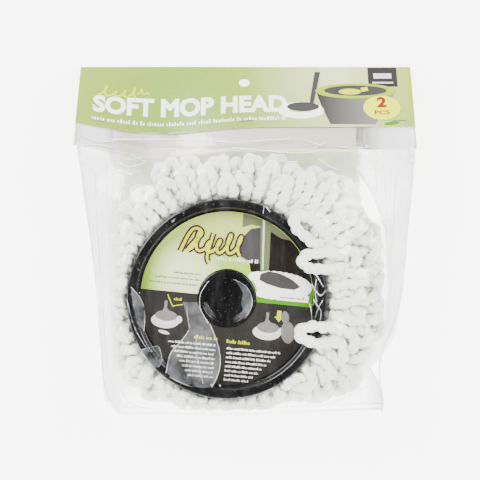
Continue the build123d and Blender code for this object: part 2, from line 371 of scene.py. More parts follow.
def resample(points, spacing):
    """A smooth path through points, by a cubic B-spline, at even spacing."""
    padded = np.concatenate([[2 * points[0] - points[1]], points, [2 * points[-1] - points[-2]]])
    share = np.linspace(0, 1, 6, endpoint=False)[:, None, None]
    a, b, c, d = padded[:-3], padded[1:-2], padded[2:-1], padded[3:]
    curve = (
        (1 - share) ** 3 * a
        + (3 * share**3 - 6 * share**2 + 4) * b
        + (-3 * share**3 + 3 * share**2 + 3 * share + 1) * c
        + share**3 * d
    ) / 6
    dense = curve.transpose(1, 0, 2).reshape(-1, 3)
    along = np.concatenate([[0], np.cumsum(np.sqrt((np.diff(dense, axis=0) ** 2).sum(1)))])
    even = np.arange(0, along[-1], spacing)
    return np.stack([np.interp(even, along, dense[:, i]) for i in range(3)], 1)


def plies(path, spacing, random):
    """The two twisted plies of a cord along a path, each as points and thicknesses, in millimetres."""
    tangent = np.gradient(path, axis=0)
    tangent /= np.linalg.norm(tangent, axis=1)[:, None] + 1e-9
    side = np.zeros_like(path)
    across = np.cross(tangent[0], [0.0, 0.0, 1.0])
    if np.linalg.norm(across) < 0.1:
        across = np.array([1.0, 0.0, 0.0])
    for i, direction in enumerate(tangent):
        across = across - direction * (across @ direction)
        across /= np.linalg.norm(across) + 1e-9
        side[i] = across
    other = np.cross(tangent, side)
    along = np.arange(len(path)) * spacing
    pitch = random.uniform(11.0, 13.5)
    wander = 0.9 * np.sin(along / random.uniform(9, 15) + random.uniform(0, 6))
    phase = 2 * math.pi * along / pitch + random.uniform(0, 2 * math.pi) + wander
    made = []
    for turn in (0, math.pi):
        offset = np.cos(phase + turn)[:, None] * side + np.sin(phase + turn)[:, None] * other
        bulge = 1 + 0.13 * np.sin(along / random.uniform(0.9, 1.3) + random.uniform(0, 6))
        bulge += random.normal(0, 0.05, len(path))
        made.append((path + PLY_OFFSET_MM * offset, bulge))
    return made


def cord_piece(name, paths, random, place, up, roundness=2):
    """One piece made of twisted cords that follow paths given in a head's own millimetres."""
    curve = bpy.data.curves.new(name, "CURVE")
    curve.dimensions = "3D"
    curve.bevel_depth = PLY_RADIUS_MM * MM
    curve.bevel_resolution = roundness
    curve.use_fill_caps = True
    for path in paths:
        even = resample(path, SECTION_MM)
        if len(even) < 4:
            continue
        for points, bulge in plies(even, SECTION_MM, random):
            spline = curve.splines.new("POLY")
            spline.points.add(len(points) - 1)
            world = points * np.array([MM, MM, up * MM]) + np.array(place)
            flat = np.concatenate([world, np.ones((len(world), 1))], 1)
            spline.points.foreach_set("co", flat.ravel())
            spline.points.foreach_set("radius", bulge)
            spline.use_smooth = True
    return applied(mesh_object(name, curve))


def fringe(head, axis, floor, up, extents, layers, per_layer, seed, top, rounds, material):
    """All the bundles of one head's fringe, each in the place of its CAD bundle."""
    loops = settle(fringe_loops(extents, layers, per_layer, seed), extents, top, rounds)
    random = np.random.default_rng(seed + 50)
    place = (axis.x, axis.y, floor)
    sectors = {}
    for loop in loops:
        middle_point = loop[len(loop) // 2]
        angle = math.atan2(middle_point[1], middle_point[0]) % (2 * math.pi)
        sectors.setdefault(int(angle / (2 * math.pi) * 12), []).append(loop)
    for number, members in sorted(sectors.items()):
        label = f"{number + 1:02d}"
        piece = cord_piece(f"{head}_fringe_{label}", members, random, place, up)
        wear(piece, material)
        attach(piece, "pack")
        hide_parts(f"{head}_bundle_{label}")
    return loops


def microfibre():
    """White looped microfibre: matt, a little uneven in tone, with a fine woolly surface."""
    make = Finish("microfibre")
    where = make.place()
    cloud = make.noise(where, 90.0, 3.0)
    fibres = make.noise(where, 1500.0, 3.0, 0.7)
    tufts = make.noise(where, 520.0, 2.0, 0.6)
    tone = make.mix(cloud, rgb(234, 237, 224), rgb(247, 249, 240))
    tone = make.mix((tufts - 0.5) * 0.6, tone, rgb(205, 208, 200))
    height = tufts * 0.7 + fibres * 0.3
    surface = make.shader(
        Base_Color=tone,
        Roughness=0.95,
        Normal=make.bump(height, 0.0006, 0.8),
        Sheen_Weight=0.25,
        Sheen_Roughness=0.5,
        Specular_IOR_Level=0.2,
    )
    return make.done(surface)


STRAY_TURNS = (("upper", -42.0), ("middle", 0.0), ("lower", -4.0))


def stray_loops(material):
    """Short hairpins of the same cord that came out over the rim of the front disc, and lie on it."""
    random = np.random.default_rng(5)
    half = [
        (23, 2.0, 40.0), (18.5, 3.4, 47.5), (13, 5.6, 52.3),
        (6, 6.0, 53.6), (-1, 5.4, 53.8), (-7.5, 4.6, 53.6),
    ]
    for node, turn in STRAY_TURNS:
        centre = middle(f"front_stray_loop_{node}")
        points = np.array(half + [(-11.5, 0.0, 53.4)] + [(x, -y, z) for x, y, z in reversed(half)])
        points[:, :2] += random.normal(0, 0.5, (len(points), 2))
        cosine, sine = math.cos(math.radians(turn)), math.sin(math.radians(turn))
        x = points[:, 0] * cosine - points[:, 1] * sine
        y = points[:, 0] * sine + points[:, 1] * cosine
        path = np.stack([x, y, points[:, 2]], 1)
        piece = cord_piece(f"stray_loop_{node}", [path], random, (centre.x, centre.y, 0), 1, 4)
        wear(piece, material)
        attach(piece, "pack")
        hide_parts(f"front_stray_loop_{node}")


# ---- discs


def black_plastic():
    """Black moulded plastic with a soft sheen, faint moulding texture and a little dust."""
    make = Finish("black_plastic")
    where = make.place()
    grain = make.noise(where, 900.0, 2.0)
    dust = make.noise(where, 60.0, 4.0, 0.65)
    specks = (make.noise(where, 420.0, 1.0) > 0.69) * 0.35
    tone = make.mix((dust - 0.45).clamp() * 0.3 + specks, rgb(7, 7, 8), rgb(84, 84, 86))
    surface = make.shader(
        Base_Color=tone,
        Roughness=dust * 0.15 + 0.12,
        Normal=make.bump(grain, 0.00004, 0.5),
    )
    return make.done(surface)


def disc_outline():
    """Radius and height of a disc's section, in millimetres above the underside of its floor."""

    def arc(centre_r, centre_z, radius, start, end, steps=5):
        angles = [math.radians(start + (end - start) * i / steps) for i in range(steps + 1)]
        return [(centre_r + radius * math.cos(a), centre_z + radius * math.sin(a)) for a in angles]

    rim_in, rim_out, top = PAN_MM, RIM_MM, RIM_TOP_MM
    return [
        (0.0, -10.6),
        (16.2, -10.6),
        (18.2, 0.0),
        (63.9, 0.0),
        (63.9, 10.6),
        (67.1, 10.6),
        (67.1, 1.5),
        (rim_out, 1.5),
        *arc(rim_out - 1.6, top - 1.6, 1.6, 0, 90),
        *arc(rim_in + 1.6, top - 1.6, 1.6, 90, 180),
        (rim_in, 9.8),
        (rim_in - 0.6, 9.2),
        (rim_in, 8.6),
        *arc(rim_in - 0.8, 2.6, 0.8, 0, -90, 3),
        (20.4, 1.8),
        *arc(20.4, 2.4, 0.6, -90, -180, 3),
        *arc(19.2, 3.2, 0.6, 0, 90, 3),
        *arc(17.6, 3.2, 0.6, 90, 180, 3),
        (15.0, -8.4),
        *arc(14.4, -8.4, 0.6, 0, -90, 3),
        (0.0, -9.0),
    ]


def disc_piece(name, place, up):
    """A turned disc with its slots and rivet holes cut through the floor."""
    shape = bmesh.new()
    corners = [shape.verts.new((r * MM, 0, z * MM)) for r, z in disc_outline()]
    edges = [shape.edges.new(pair) for pair in zip(corners, corners[1:])]
    bmesh.ops.spin(
        shape, geom=corners + edges, cent=(0, 0, 0), axis=(0, 0, 1),
        angle=2 * math.pi, steps=168, use_merge=True,
    )
    bmesh.ops.remove_doubles(shape, verts=shape.verts, dist=1e-6)
    bmesh.ops.recalc_face_normals(shape, faces=shape.faces)
    disc = from_bmesh(name, shape)
    cutter = bmesh.new()
    for i in range(12):
        angle = 2 * math.pi * i / 12
        hole = bmesh.ops.create_cone(
            cutter, cap_ends=True, segments=20, radius1=1.55 * MM, radius2=1.55 * MM, depth=0.008
        )
        bmesh.ops.translate(cutter, verts=hole["verts"], vec=(0.044, 0, 0.001))
        slot = bmesh.ops.create_cone(
            cutter, cap_ends=True, segments=24, radius1=1.5 * MM, radius2=1.5 * MM, depth=0.008
        )
        for vert in slot["verts"]:
            vert.co.x += math.copysign(6.0 * MM, vert.co.x) + 0.034
            vert.co.z += 0.001
        bmesh.ops.rotate(cutter, verts=hole["verts"], cent=(0, 0, 0), matrix=Matrix.Rotation(angle, 3, "Z"))
        half = Matrix.Rotation(angle + math.pi / 12, 3, "Z")
        bmesh.ops.rotate(cutter, verts=slot["verts"], cent=(0, 0, 0), matrix=half)
    tool = from_bmesh("slot_tool", cutter)
    cut = disc.modifiers.new("cut", "BOOLEAN")
    cut.object = tool
    cut.operation = "DIFFERENCE"
    disc = applied(disc)
    bpy.data.objects.remove(tool)
    turn = Matrix.Identity(4) if up > 0 else Matrix.Rotation(math.pi, 4, "X")
    disc.data.transform(Matrix.Translation(place) @ turn)
    crease(disc, 32)
    return disc


def crease(piece, degrees):
    """Keeps edges sharper than an angle hard under smooth shading."""
    piece.data.set_sharp_from_angle(angle=math.radians(degrees))


def discs():
    plastic = black_plastic()
    heads = ("front", FRONT_AXIS, FRONT_FLOOR, 1), ("rear", REAR_AXIS, REAR_FLOOR, -1)
    for head, axis, floor, up in heads:
        piece = disc_piece(f"{head}_head_disc", Vector((axis.x, axis.y, floor)), up)
        wear(piece, plastic)
        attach(piece, "pack")
        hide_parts(f"{head}_disc")
        wear(nodes[f"{head}_clamp_ring"], plastic)
        wear(nodes[f"{head}_rivets"], plastic)


# ---- header card

FRONT_PANEL_MM = 52.0
BACK_PANEL_MM = 70.0
BOARD_MM = 0.45
PANEL_GAP_MM = 0.9
TILT = math.radians(28.6)
FOLD_Y_MM = 126.3
FOLD_Z_MM = 1.4
SAG_X_MM = -58.0
SAG_WIDTH_MM = 38.0
LIFTED_X_MM = -125.0


def card_tilt(x_mm):
    """The card lies flatter where it sags, left of its middle, and stands steeper at its left end."""
    sag = math.radians(12.0) * np.exp(-(((x_mm - SAG_X_MM) / SAG_WIDTH_MM) ** 2))
    lifted = math.radians(6.0) * np.exp(-(((x_mm - LIFTED_X_MM) / 22.0) ** 2))
    return TILT - sag + lifted


def card_point(x_mm, down_mm, lift_mm=0.0):
    """A point of the card's front face, in millimetres: x, y, z as arrays."""
    tilt = card_tilt(x_mm)
    y = FOLD_Y_MM - down_mm * np.cos(tilt) + lift_mm * np.sin(tilt)
    z = FOLD_Z_MM + down_mm * np.sin(tilt) + lift_mm * np.cos(tilt)
    return x_mm + 0 * y, y, z


def card_height(x_mm, y_mm, lift_mm):
    """Height of the card's face, or a layer under it, over a place on the ground."""
    tilt = card_tilt(x_mm)
    down = (FOLD_Y_MM - y_mm + lift_mm * np.sin(tilt)) / np.cos(tilt)
    return FOLD_Z_MM + down * np.sin(tilt) + lift_mm * np.cos(tilt)


def set_points(mesh, points_mm):
    mesh.vertices.foreach_set("co", (np.asarray(points_mm) * MM).astype(np.float32).ravel())
    mesh.update()


def get_points(mesh):
    flat = np.zeros(len(mesh.vertices) * 3)
    mesh.vertices.foreach_get("co", flat)
    return flat.reshape(-1, 3)


def board_print():
    """Pale green print, lighter towards the right, on a coated board."""
    make = Finish("header_print")
    x, down, _ = make.parts(make.uv())
    across = x / (CARD_WIDTH / MM * 0.001) + 0.5
    colours = (
        (0.0, rgb(126, 148, 20)),
        (0.3, rgb(112, 142, 8)),
        (0.5, rgb(128, 152, 28)),
        (0.78, rgb(196, 206, 150)),
        (1.0, rgb(142, 164, 34)),
    )
    tone = make.add("ShaderNodeValToRGB", {"stops": colours}, {0: across})
    shade = make.mix((down * 16.0 - 0.2).clamp() * 0.4, tone, rgb(104, 136, 14))
    fleck = make.noise(make.place(), 700.0, 2.0)
    surface = make.shader(
        Base_Color=make.mix(fleck * 0.08, shade, rgb(240, 244, 226)),
        Roughness=fleck * 0.1 + 0.3,
        Normal=make.bump(make.noise(make.place(), 45.0, 2.0), 0.0008, 0.15),
    )
    return make.done(surface)


def bare_board():
    """The uncoated side of the board: warm grey with short fibres."""
    make = Finish("bare_board")
    fibre = make.noise(make.stretch(make.place(), (1, 0.35, 1)), 1400.0, 3.0, 0.6)
    tone = make.mix(fibre, rgb(196, 188, 174), rgb(214, 207, 194))
    return make.done(make.shader(Base_Color=tone, Roughness=0.85, Normal=make.bump(fibre, 0.0001, 0.5)))


def header_card():
    """One board folded over: printed front panel, rounded fold, longer back panel."""
    bend = PANEL_GAP_MM / 2 + BOARD_MM / 2
    arc = math.pi * bend
    total = FRONT_PANEL_MM + arc + BACK_PANEL_MM
    shape = bmesh.new()
    shape.loops.layers.uv.new("flat")
    bmesh.ops.create_grid(shape, x_segments=96, y_segments=132, size=1.0)
    card = from_bmesh("folded_header", shape)
    flat = get_points(card.data)
    x = flat[:, 0] * CARD_WIDTH / MM / 2
    share = (flat[:, 1] + 1) / 2
    # rows crowd together at the fold
    run = np.interp(share, [0, 0.4, 0.5, 1.0], [0, FRONT_PANEL_MM, FRONT_PANEL_MM + arc, total])
    turn = np.clip((run - FRONT_PANEL_MM) / arc, 0, 1) * math.pi
    on_front = run <= FRONT_PANEL_MM
    on_back = run >= FRONT_PANEL_MM + arc
    down = np.where(on_front, FRONT_PANEL_MM - run, np.where(on_back, run - FRONT_PANEL_MM - arc, 0.0)) + bend
    down = np.where(on_front | on_back, down, bend - bend * np.sin(turn))
    depth = BOARD_MM / 2 + bend - bend * np.cos(turn)
    set_points(card.data, np.stack(card_point(x, down, -depth), 1))
    layer = card.data.uv_layers[0]
    corners = np.zeros(len(card.data.loops), int)
    card.data.loops.foreach_get("vertex_index", corners)
    flat_place = np.stack([x[corners] * MM, down[corners] * MM], 1)
    layer.data.foreach_set("uv", flat_place.astype(np.float32).ravel())
    for material in (board_print(), bare_board()):
        card.data.materials.append(material)
    wall = card.modifiers.new("wall", "SOLIDIFY")
    wall.thickness = BOARD_MM * MM
    wall.offset = 0
    wall.material_offset = 1
    wall.material_offset_rim = 1
    card = applied(card)
    fix_outside(card)
    tool = bmesh.new()
    bmesh.ops.create_cone(tool, cap_ends=True, segments=64, radius1=0.004, radius2=0.004, depth=0.012)
    drill = from_bmesh("drill", tool)
    hole = frame["record"]["mounts"][0]
    drill.data.transform(
        Matrix.Translation(hole["pos_m"]) @ Vector(hole["axis"]).to_track_quat("Z", "Y").to_matrix().to_4x4()
    )
    cut = card.modifiers.new("cut", "BOOLEAN")
    cut.object = drill
    card = applied(card)
    bpy.data.objects.remove(drill)
    crease(card, 40)
    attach(card, "header")
    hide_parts("header_card")


def fix_outside(piece):
    """Turns a closed piece's faces outwards, and puts the first material on its outer side."""
    shape = bmesh.new()
    shape.from_mesh(piece.data)
    bmesh.ops.recalc_face_normals(shape, faces=shape.faces)
    for face in shape.faces:
        outward = face.normal.dot(Vector((0, math.sin(TILT), math.cos(TILT))))
        spot = face.calc_center_median() / MM
        depth = float(card_height(spot.x, spot.y, 0.0)) - spot.z
        front_side = depth < PANEL_GAP_MM
        printed = (outward > 0.3) if front_side else (outward < -0.3)
        face.material_index = 0 if printed else 1
    shape.to_mesh(piece.data)
    shape.free()


# ---- print on the header and on the insert card

GOLDEN_SHARE = 0.618034
LEVELS_MM = 0.04
INK_MM = 0.05
LONGEST_EDGE_MM = 5.0


def ink_finish(name, colour):
    """Printed ink: an even colour with a faint screen of lighter dots and a coated surface."""
    make = Finish(name)
    screen = make.noise(make.place(), 1500.0, 1.0)
    lighter = tuple(min(1.0, c * 1.25 + 0.02) for c in colour[:3]) + (1.0,)
    tone = make.mix((screen - 0.4).clamp() * 0.8, colour, lighter)
    return make.done(make.shader(Base_Color=tone, Roughness=screen * 0.1 + 0.2))


def shaded_ink(name, dark, light, start_x, end_x):
    """Printed shading that runs from dark to light across the card."""
    make = Finish(name)
    x, _, _ = make.parts(make.place())
    screen = make.noise(make.place(), 1500.0, 1.0)
    share = (x - start_x) / (end_x - start_x) + (screen - 0.5) * 0.1
    return make.done(make.shader(Base_Color=make.mix(share.clamp(), dark, light), Roughness=0.35))


class Print:
    """Flat shapes of one ink, drawn in millimetres and then laid on a surface as a thin solid layer."""

    def __init__(self, name):
        self.name = name
        self.shape = bmesh.new()
        self.drawn = 0

    def flat(self, verts):
        """Marks a new flat shape, and gives it a height of its own so that no two overlap at one level."""
        self.drawn += 1
        for vert in verts:
            vert.co.z += self.drawn * GOLDEN_SHARE % 1 * LEVELS_MM
            for face in vert.link_faces:
                face.material_index = 1

    def ellipse(self, x, y, across, high, turn=0.0, sides=40):
        made = bmesh.ops.create_circle(self.shape, cap_ends=True, segments=sides, radius=1.0)
        self.move(made["verts"], x, y, across, high, turn)
        return self

    def bar(self, x, y, wide, high, turn=0.0):
        made = bmesh.ops.create_grid(self.shape, x_segments=1, y_segments=1, size=0.5)
        self.move(made["verts"], x, y, wide, high, turn)
        return self

    def outline(self, points):
        corners = [self.shape.verts.new((x, y, 0)) for x, y in points]
        self.shape.faces.new(corners)
        self.flat(corners)
        return self

    def move(self, verts, x, y, across, high, turn):
        matrix = Matrix.Translation((x, y, 0)) @ Matrix.Rotation(math.radians(turn), 4, "Z")
        matrix = matrix @ Matrix.Diagonal((across, high, 1, 1))
        bmesh.ops.transform(self.shape, matrix=matrix, verts=verts)
        self.flat(verts)

    def fine_lines(self, x, y, width, lines, pitch, height, seed, narrow=0.0, right=False):
        """Rows of small print, each shorter than the one above."""
        for line in range(lines):
            room = width - narrow * line
            start = x + width - room if right else x
            self.small_words(start, y - line * pitch, room, height, seed * 20 + line)
        return self

    def small_words(self, x, y, width, height, seed):
        """A row of marks the size of small letters, spelling nothing."""
        random = np.random.default_rng(seed)
        place, left_in_word = 0.0, 5
        while place < width:
            wide = height * random.uniform(0.22, 0.46)
            tall = height * random.choice([0.66, 0.66, 1.0])
            self.bar(x + place + wide / 2, y - height / 2 + tall / 2, wide, tall)
            left_in_word -= 1
            place += wide + height * (0.24 if left_in_word else 0.65)
            left_in_word = left_in_word or int(random.integers(2, 9))
        return self

    def words(self, text, x, y, width, height, bold):
        """Plain lettering that fills a box whose lower left corner is x, y."""
        data = bpy.data.curves.new("words", "FONT")
        data.body = text
        data.bevel_depth = bold
        data.bevel_resolution = 0
        data.resolution_u = 4
        letters = applied(mesh_object("words", data))
        points = get_points(letters.data)
        low, high = points.min(0), points.max(0)
        points[:, 0] = x + (points[:, 0] - low[0]) / (high[0] - low[0]) * width
        points[:, 1] = y + (points[:, 1] - low[1]) / (high[1] - low[1]) * height
        points[:, 2] *= INK_MM / bold
        letters.data.vertices.foreach_set("co", points.astype(np.float32).ravel())
        self.shape.from_mesh(letters.data)
        bpy.data.objects.remove(letters)
        return self

    def stroke(self, points, width):
        """A round-ended pen stroke."""
        curve = bpy.data.curves.new("pen", "CURVE")
        curve.dimensions = "3D"
        curve.bevel_depth = width / 2
        curve.bevel_resolution = 3
        curve.use_fill_caps = True
        spline = curve.splines.new("NURBS")
        spline.points.add(len(points) - 1)
        for slot_point, (x, y) in zip(spline.points, points):
            slot_point.co = (x, y, 0, 1)
        spline.order_u = 3
        spline.use_endpoint_u = True
        spline.resolution_u = 5
        pen = applied(mesh_object("pen", curve))
        flat = get_points(pen.data)
        flat[:, 2] *= INK_MM / width
        pen.data.vertices.foreach_set("co", flat.astype(np.float32).ravel())
        self.shape.from_mesh(pen.data)
        bpy.data.objects.remove(pen)
        return self

    def lay(self, surface, lift_mm, material, body, slot):
        """Gives the ink its thickness and puts it on a surface."""
        drawn_faces = [face for face in self.shape.faces if face.material_index]
        if drawn_faces:
            bmesh.ops.triangulate(self.shape, faces=drawn_faces)
        for _ in range(5):
            long_edges = [edge for edge in self.shape.edges if edge.calc_length() > LONGEST_EDGE_MM]
            if not long_edges:
                break
            bmesh.ops.subdivide_edges(self.shape, edges=long_edges, cuts=1)
            bmesh.ops.triangulate(self.shape, faces=[f for f in self.shape.faces if len(f.verts) > 3])
        drawn_faces = [face for face in self.shape.faces if face.material_index]
        if drawn_faces:
            made = bmesh.ops.extrude_face_region(self.shape, geom=drawn_faces, use_keep_orig=True)
            tops = [item for item in made["geom"] if isinstance(item, bmesh.types.BMVert)]
            bmesh.ops.translate(self.shape, verts=tops, vec=(0, 0, INK_MM))
            drawn_faces = [face for face in self.shape.faces if face.material_index]
            bmesh.ops.recalc_face_normals(self.shape, faces=drawn_faces)
        for face in self.shape.faces:
            face.material_index = 0
        piece = from_bmesh(self.name, self.shape, False)
        points = get_points(piece.data)
        x, y, z = surface(points[:, 0], points[:, 1], points[:, 2] + lift_mm)
        set_points(piece.data, np.stack([x, y, z], 1))
        wear(piece, material)
        if body:
            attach(piece, body)
        return piece


def scribble(x, y, width, height, loops, seed):
    """A pen line of tall and short loops, like handwriting that spells nothing."""
    random = np.random.default_rng(seed)
    points = []
    for i in range(loops * 8 + 1):
        t = i / 8
        tall = (1.0, 0.5, 0.62, 0.95, 0.9, 0.5)[int(t) % 6]
        swing = math.sin(2 * math.pi * t)
        rise = (1 - math.cos(2 * math.pi * t)) / 2
        points.append(
            (
                x + width * (t / loops) + swing * width * 0.06 + rise * width * 0.1,
                y + rise * height * tall + random.uniform(-0.2, 0.2),
            )
        )
    return points


def on_header(x, up, lift):
    """Header print is drawn with y up, from the fold line."""
    return card_point(x, -up, lift)


INKS = {
    "white": ink_finish("white_ink", rgb(244, 246, 236)),
    "yellow": ink_finish("yellow_ink", rgb(190, 198, 0)),
    "pale_yellow": ink_finish("pale_yellow_ink", rgb(214, 222, 0)),
    "red_brown": ink_finish("red_brown_ink", rgb(120, 40, 22)),
    "purple": ink_finish("dark_purple_ink", rgb(52, 28, 40)),
    "grey": ink_finish("grey_ink", rgb(112, 110, 108)),
    "light_grey": ink_finish("light_grey_ink", rgb(196, 197, 194)),
    "dark_grey": ink_finish("dark_grey_ink", rgb(58, 57, 56)),
    "charcoal": ink_finish("charcoal_ink", rgb(44, 42, 42)),
    "green": ink_finish("green_ink", rgb(70, 128, 8)),
    "dark_green": ink_finish("dark_green_ink", rgb(92, 100, 66)),
    "lime": ink_finish("lime_ink", rgb(146, 170, 24)),
    "bucket": shaded_ink("bucket_ink", rgb(44, 43, 42), rgb(120, 118, 112), 0.052, 0.098),
    "brown": ink_finish("dark_brown_ink", rgb(20, 15, 11)),
}


def header_print():
    """Title, fine print, count badge and small pictures of a mop and a bucket."""

    def lay(design, ink, lift):
        design.lay(on_header, lift, INKS[ink], "header", "printed_header")

    title = Print("header_title").words("SOFT MOP HEAD", -109.0, -40.0, 138.5, 14.6, 0.046)
    lay(title, "white", 0.08)
    lay(Print("header_fine_print").small_words(-108.9, -45.2, 138.0, 3.2, 3), "white", 0.08)
    script = Print("header_script").stroke(scribble(-106.0, -25.2, 27.0, 8.5, 4, 8), 1.5)
    lay(script.stroke(scribble(-78.0, -22.5, 9.0, 4.5, 2, 9), 0.9), "yellow", 0.08)
    square = Print("header_grey_square").bar(99.1, -9.6, 21.0, 17.0)
    lay(square, "charcoal", 0.08)
    label = Print("header_square_label").bar(99.1, -8.6, 13.0, 4.4).bar(99.1, -14.6, 15.0, 1.3)
    lay(label, "light_grey", 0.16)
    mop = Print("picture_mop_fringe")
    for i in range(22):
        angle = 2 * math.pi * i / 22
        mop.ellipse(39.5 + 12.5 * math.cos(angle), -38.5 + 4.6 * math.sin(angle), 4.0, 2.8, 0, 14)
    lay(mop, "white", 0.08)
    plate = Print("picture_mop_plate").ellipse(41.0, -35.5, 11.5, 3.9)
    lay(plate.outline([(50.2, -5.0), (54.2, -5.0), (48.4, -34.0), (45.4, -34.0)]), "dark_grey", 0.16)
    body = Print("picture_bucket").outline(
        [(50.5, -21.9), (107.6, -21.9), (103.0, -33.0), (92.0, -50.5), (60.0, -50.5), (54.5, -36.0)]
    )
    lay(body, "bucket", 0.08)
    lay(Print("picture_bucket_rim").ellipse(79.0, -21.9, 29.0, 6.6), "lime", 0.16)
    lay(Print("picture_bucket_inside").ellipse(79.0, -21.6, 22.5, 4.5), "dark_grey", 0.24)
    basket = Print("picture_basket").ellipse(75.0, -22.6, 8.0, 2.6)
    lay(basket.bar(85.5, -20.5, 5.0, 3.4, 12.0), "yellow", 0.32)
    lay(Print("count_badge").ellipse(97.2, -36.6, 13.3, 10.4), "pale_yellow", 0.32)
    count = Print("count_number").words("2", 93.8, -36.4, 6.8, 9.2, 0.05)
    lay(count.words("PCS", 91.8, -42.4, 10.8, 3.6, 0.03), "red_brown", 0.40)
    lay(Print("picture_leaf").ellipse(103.5, -49.8, 5.5, 1.4, 8), "green", 0.16)


INSERT_TURN = math.radians(-5.5)


def on_insert(x, y, lift):
    """The insert card's art is turned a little clockwise in the disc."""
    return (
        FRONT_AXIS.x / MM + x * math.cos(INSERT_TURN) - y * math.sin(INSERT_TURN),
        FRONT_AXIS.y / MM + x * math.sin(INSERT_TURN) + y * math.cos(INSERT_TURN),
        INSERT_TOP / MM + lift,
    )


def arc_points(radius, start, end, steps=24):
    angles = [math.radians(start + (end - start) * i / steps) for i in range(steps + 1)]
    return [(radius * math.cos(a), radius * math.sin(a)) for a in angles]


def insert_board():
    """The insert's print: green fading to pale over the top, dark brown-grey below."""
    make = Finish("insert_print")
    centre = make.add(
        "ShaderNodeMapping",
        {"vector_type": "TEXTURE"},
        {
            "Vector": make.place(),
            "Location": (FRONT_AXIS.x, FRONT_AXIS.y, 0),
            "Rotation": (0, 0, INSERT_TURN),
        },
    )
    x, y, _ = make.parts(centre)
    upper = y > 0.001
    glow = (1.1 - ((x + 0.030) * (x + 0.030) + (y - 0.012) * (y - 0.012)) * 1500.0).clamp()
    green = make.mix((y * 22.0 - 0.25).clamp(), rgb(150, 182, 52), rgb(182, 198, 104))
    green = make.mix(glow * 0.75, green, rgb(226, 234, 190))
    mottle = make.noise(make.place(), 38.0, 3.0)
    dark = make.mix(mottle, rgb(26, 24, 21), rgb(46, 44, 41))
    tone = make.mix(upper, dark, green)
    surface = make.shader(Base_Color=tone, Roughness=mottle * 0.08 + 0.22, Coat_Weight=0.3)
    return make.done(surface)


DRAWN_HEADS_MM = ((-41.4, -19.6), (29.6, -21.1))


